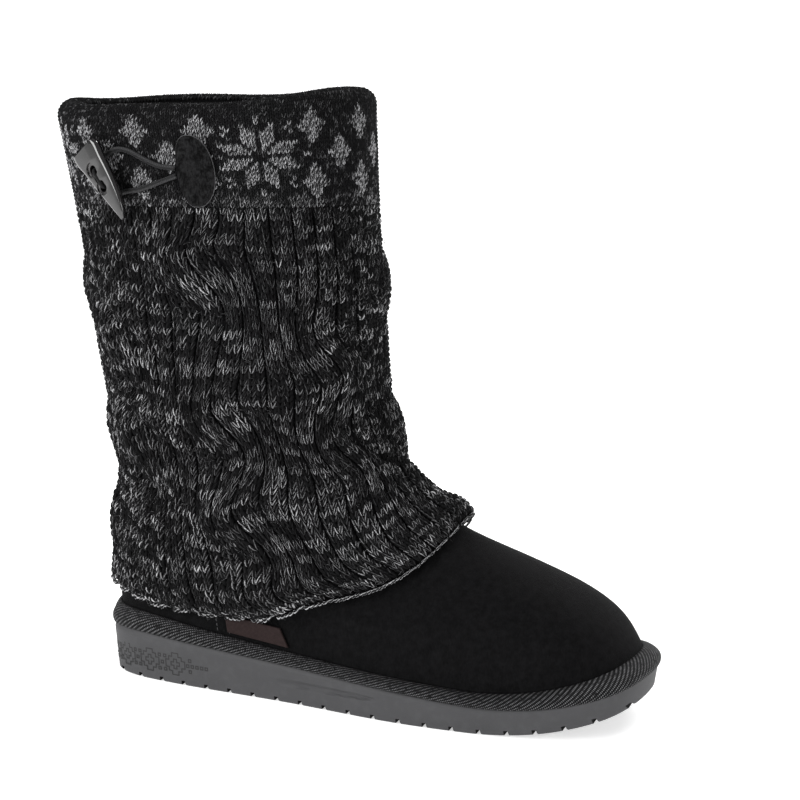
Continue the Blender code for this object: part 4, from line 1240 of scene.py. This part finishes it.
shares = np.concatenate([[0, 0.008, 0.025], np.linspace(0.06, 0.94, 18), [0.965, 0.985, 1.0]])
sizes = curve([row[0] for row in TOGGLE_SECTIONS], [row[1:] for row in TOGGLE_SECTIONS], shares)
toggle_rows = []
for share, (width, depth, shift) in zip(shares, sizes):
    ring = []
    for across, up in TOGGLE_SECTION:
        along = -0.41 * TOGGLE_LENGTH + share * TOGGLE_LENGTH
        ring.append((along, (across * width + shift) * TOGGLE_WIDTH, TOGGLE_DEPTH * (1 - (1 - up) * depth)))
    toggle_rows.append(ring)
toggle_mesh = grid_mesh("horn_body", toggle_rows)
horn = bpy.data.objects.new("horn_body", toggle_mesh)
bpy.context.scene.collection.objects.link(horn)
faces_outward(horn, fill=True)
for side in (-1, 1):
    cut_away(horn, drum(0.0020, 0.03, (side * HOLE_SPACING / 2, 0, 0)))
    cut_away(horn, drum(0.0034, 0.0016, (side * HOLE_SPACING / 2, 0, TOGGLE_DEPTH)))
bpy.ops.mesh.primitive_cube_add(size=1, location=(0, 0, TOGGLE_DEPTH))
bar = bpy.context.object
bar.scale = (HOLE_SPACING, 0.0024, 0.0032)
bpy.ops.object.transform_apply(scale=True)
cut_away(horn, bar)
rounding = horn.modifiers.new("rounding", "BEVEL")
rounding.width = 0.00035
rounding.segments = 3
rounding.limit_method = "ANGLE"
rounding.angle_limit = math.radians(40)
bpy.context.view_layer.objects.active = horn
bpy.ops.object.modifier_apply(modifier=rounding.name)
horn_place = toggle_frame()
horn.data.transform(horn_place)
space = started("polished horn")
streaks = space.stretched(1.0, 1.0, 0.25).noise(160, 3, 0.6)
scratches = space.stretched(0.2, 1.0, 1.0).noise(2400, 2, 0.5)
horn_colour = streaks.steps(0.3, 0.75).blend((0.0030, 0.0030, 0.0034), (0.0095, 0.0090, 0.0090))
polished = new_finish(
    "polished horn", scratches * 0.05 + 0.05, streaks * 0.5 + scratches * 0.1, 0.00002,
    Base_Color=horn_colour, Coat_Weight=0.9, Coat_Roughness=0.03, Specular_IOR_Level=0.25,
)
horn.data.materials.clear()
horn.data.materials.append(polished)
horn.data.shade_smooth()
horn.data.set_sharp_from_angle(angle=math.radians(50))
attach(horn, "root")
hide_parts("toggle")

# The toggle's thread: black waxed twine, up through one hole, along the channel and down
# through the other.
THREAD = 0.0016


def tube_mesh(name, points, radius, sides):
    """A round cord along points, open at both ends, with UV in metres round and along."""
    points = np.array(points, float)
    way = np.gradient(points, axis=0)
    way /= np.linalg.norm(way, axis=1, keepdims=True)
    side = np.cross(way[0], (0.3, 0.2, 1.0))
    rings = []
    for point, along in zip(points, way):
        side = side - along * (side @ along)
        side = side / np.linalg.norm(side)
        other = np.cross(along, side)
        angles = -even_angles(sides)
        rings.append(point + radius * (np.cos(angles)[:, None] * side + np.sin(angles)[:, None] * other))
    return grid_mesh(name, np.array(rings)[::-1])


def even_route(points, spacing):
    """Points at an even spacing on a smooth curve through a route."""
    points = np.array(points, float)
    knots = runs_along(points)
    count = round(knots[-1] / spacing)
    return curve(knots, points, np.linspace(0, knots[-1], count + 1))


reach = HOLE_SPACING / 2
top = TOGGLE_DEPTH - 0.0016 + CLEARANCE + THREAD / 2
up_one_hole = [
    (-reach, CLEARANCE - STANDOFF), (-reach, top - 0.0026), (-reach + 0.0001, top - 0.0011),
    (-reach + 0.0006, top - 0.0003), (-reach + 0.0016, top),
]
down_the_other = [(-along, up) for along, up in reversed(up_one_hole)]
thread_path = up_one_hole + [(0, top)] + down_the_other
thread_points = [horn_place @ Vector((along, 0, up)) for along, up in thread_path]
place = started("waxed twine", uv="Metres")
twist = (place.part("X") + place.part("Y") * 2.2).wave(0.0011)
twine = new_finish(
    "waxed twine", 0.6, twist, 0.00018, Base_Color=twist.blend((0.004, 0.004, 0.004), (0.016, 0.016, 0.017)),
    Specular_IOR_Level=0.15,
)
thread = tube_mesh("thread_twist", even_route(thread_points, 0.00035), THREAD / 2, 14)
show("thread_twist", thread, twine, "toggle_thread", fill=True)

# The elastic loop: a round braided elastic, out of the patch, behind the toggle round the
# two legs of its thread, and back. It is fixed at both ends, so it isn't a free cord.
LOOP_ROUTE = (
    (95.4, 0.2463), (89.3, 0.2473), (82.5, 0.2511), (77.7, 0.2538), (73.5, 0.2543), (69.5, 0.2526),
    (65.4, 0.2496), (62.6, 0.2450), (63.6, 0.2404), (67.0, 0.2366), (71.3, 0.2353), (75.2, 0.2360),
    (80.0, 0.2368), (84.5, 0.2384), (89.5, 0.2405), (95.4, 0.2430),
)
loop_middle = CLEARANCE + LOOP / 2
loop_points = even_route([on_sleeve(turn, height, loop_middle)[0] for turn, height in LOOP_ROUTE], 0.0006)
place = started("braided elastic", uv="Metres")
one_way = (place.part("X") + place.part("Y")).wave(0.0012)
other_way = (place.part("X") - place.part("Y")).wave(0.0012)
braid = place.math("MAXIMUM", one_way, other_way)
# Painted highlight: lengthwise stripes of shine round the cord, painted into the braid's colour.
painted_shine = place.part("X").wave(0.0024)
braid_and_painted_shine_colour = (braid * painted_shine).blend((0.005, 0.005, 0.0055), (0.045, 0.045, 0.047))
elastic = new_finish(
    "braided elastic", 0.55, braid, 0.00022, Base_Color=braid_and_painted_shine_colour, Specular_IOR_Level=0.2,
)
loop = tube_mesh("braided_loop", loop_points, LOOP / 2, 18)
show("braided_loop", loop, elastic, "elastic_loop", fill=True)

# The patch: an oval of dark suede with a clean cut edge, glued and sewn over the ends of
# the loop.
PATCH_SIDES = 96
PATCH_WIDTH = 0.0180
PATCH_HEIGHT = 0.0312
PATCH_TURN = 101.7


def patch_ring(scale, lift):
    """A ring of the patch, flatter on the side that the loop comes out of."""
    points = []
    for angle in even_angles(PATCH_SIDES):
        across = math.cos(angle)
        across = across if across > 0 else -0.80 * abs(across) ** 0.7
        turn = PATCH_TURN + math.degrees(scale * across * PATCH_WIDTH / COLLAR_LENGTH)
        height = 0.2450 + scale * math.sin(angle) * PATCH_HEIGHT / 2
        points.append(on_sleeve(turn, height, CLEARANCE + lift)[0])
    return points


patch_rows = [patch_ring(*pair) for pair in (
    (0.55, 0.0), (0.97, 0.0), (0.995, 0.0002), (1.0, 0.0012), (0.985, 0.0015), (0.96, 0.0016),
    (0.80, 0.0016), (0.60, 0.0016), (0.40, 0.0016), (0.20, 0.0016),
)]
patch_finish = nap_finish("patch suede", (0.0024, 0.0024, 0.0025), 330, 5.6, 0.085)
patch = show("suede_patch", grid_mesh("suede_patch", patch_rows), patch_finish, "patch", fill=True)
cut_edge = grained("cut edge", 3200, (2,), (0.03, 0.03, 0.031), (0.11, 0.11, 0.113), 0.85, 0.0001)
patch.data.materials.append(cut_edge)
for face in patch.data.polygons:
    corner_rings = {index // PATCH_SIDES for index in face.vertices}
    if corner_rings <= {2, 3, 4} and len(face.vertices) == 4:
        face.material_index = 1

# The side tab: a folded end of dark brown woven tape caught in the outer seam. It is left
# bare.
TAB_LENGTH = 0.0325


def tab_point(along, up, off):
    place = seam_x + 0.75 * SEAM_WIDTH + CLEARANCE + along
    theta = math.acos(1 - 2 * (place - LAST_BACK) / (LAST_FRONT - LAST_BACK))
    low = read_table(FORM, 1.1 / TOP_LEVEL, theta)
    high = read_table(FORM, 2.0 / TOP_LEVEL, theta)
    share = (0.0008 + up) / (high[2] - low[2])
    away = read_table(FORM_OUT, 1.5 / TOP_LEVEL, theta)
    return low + (high - low) * share + away * (CLEARANCE + off)


seam_x = LAST_BACK + (LAST_FRONT - LAST_BACK) * SEAM_PLACE
tab_rows = []
for step in range(41):
    share = step / 40
    ring = []
    for up, off in (
        (0.0002, 0.0), (0.0, 0.0003), (0.0, 0.0008), (0.0002, 0.0011), (0.0022, 0.0011), (0.0043, 0.0011),
        (0.0064, 0.0011), (0.0084, 0.0011), (0.0086, 0.0008), (0.0086, 0.0003), (0.0084, 0.0), (0.0043, 0.0),
    ):
        length = TAB_LENGTH - 0.0030 * up / 0.0086
        curl = 0.0004 * share**3
        ring.append(tab_point(length * share, up, off + curl))
    tab_rows.append(ring)
place = started("brown tape", uv="Metres")
warp_rows = place.part("Y").wave(0.0007)
weft_rows = place.part("X").wave(0.0006)
weave = warp_rows * 0.5 + weft_rows * 0.5
worn = place.noise(500, 3)
brown = (weave * 0.6 + worn * 0.4).steps(0.2, 0.9).blend((0.0095, 0.0052, 0.0050), (0.030, 0.0185, 0.0178))
tab_finish = new_finish("brown tape", 0.8, weave, 0.00012, Base_Color=brown, Specular_IOR_Level=0.15)
show("woven_tab", grid_mesh("woven_tab", tab_rows), tab_finish, "side_tab", sharp=50, fill=True)
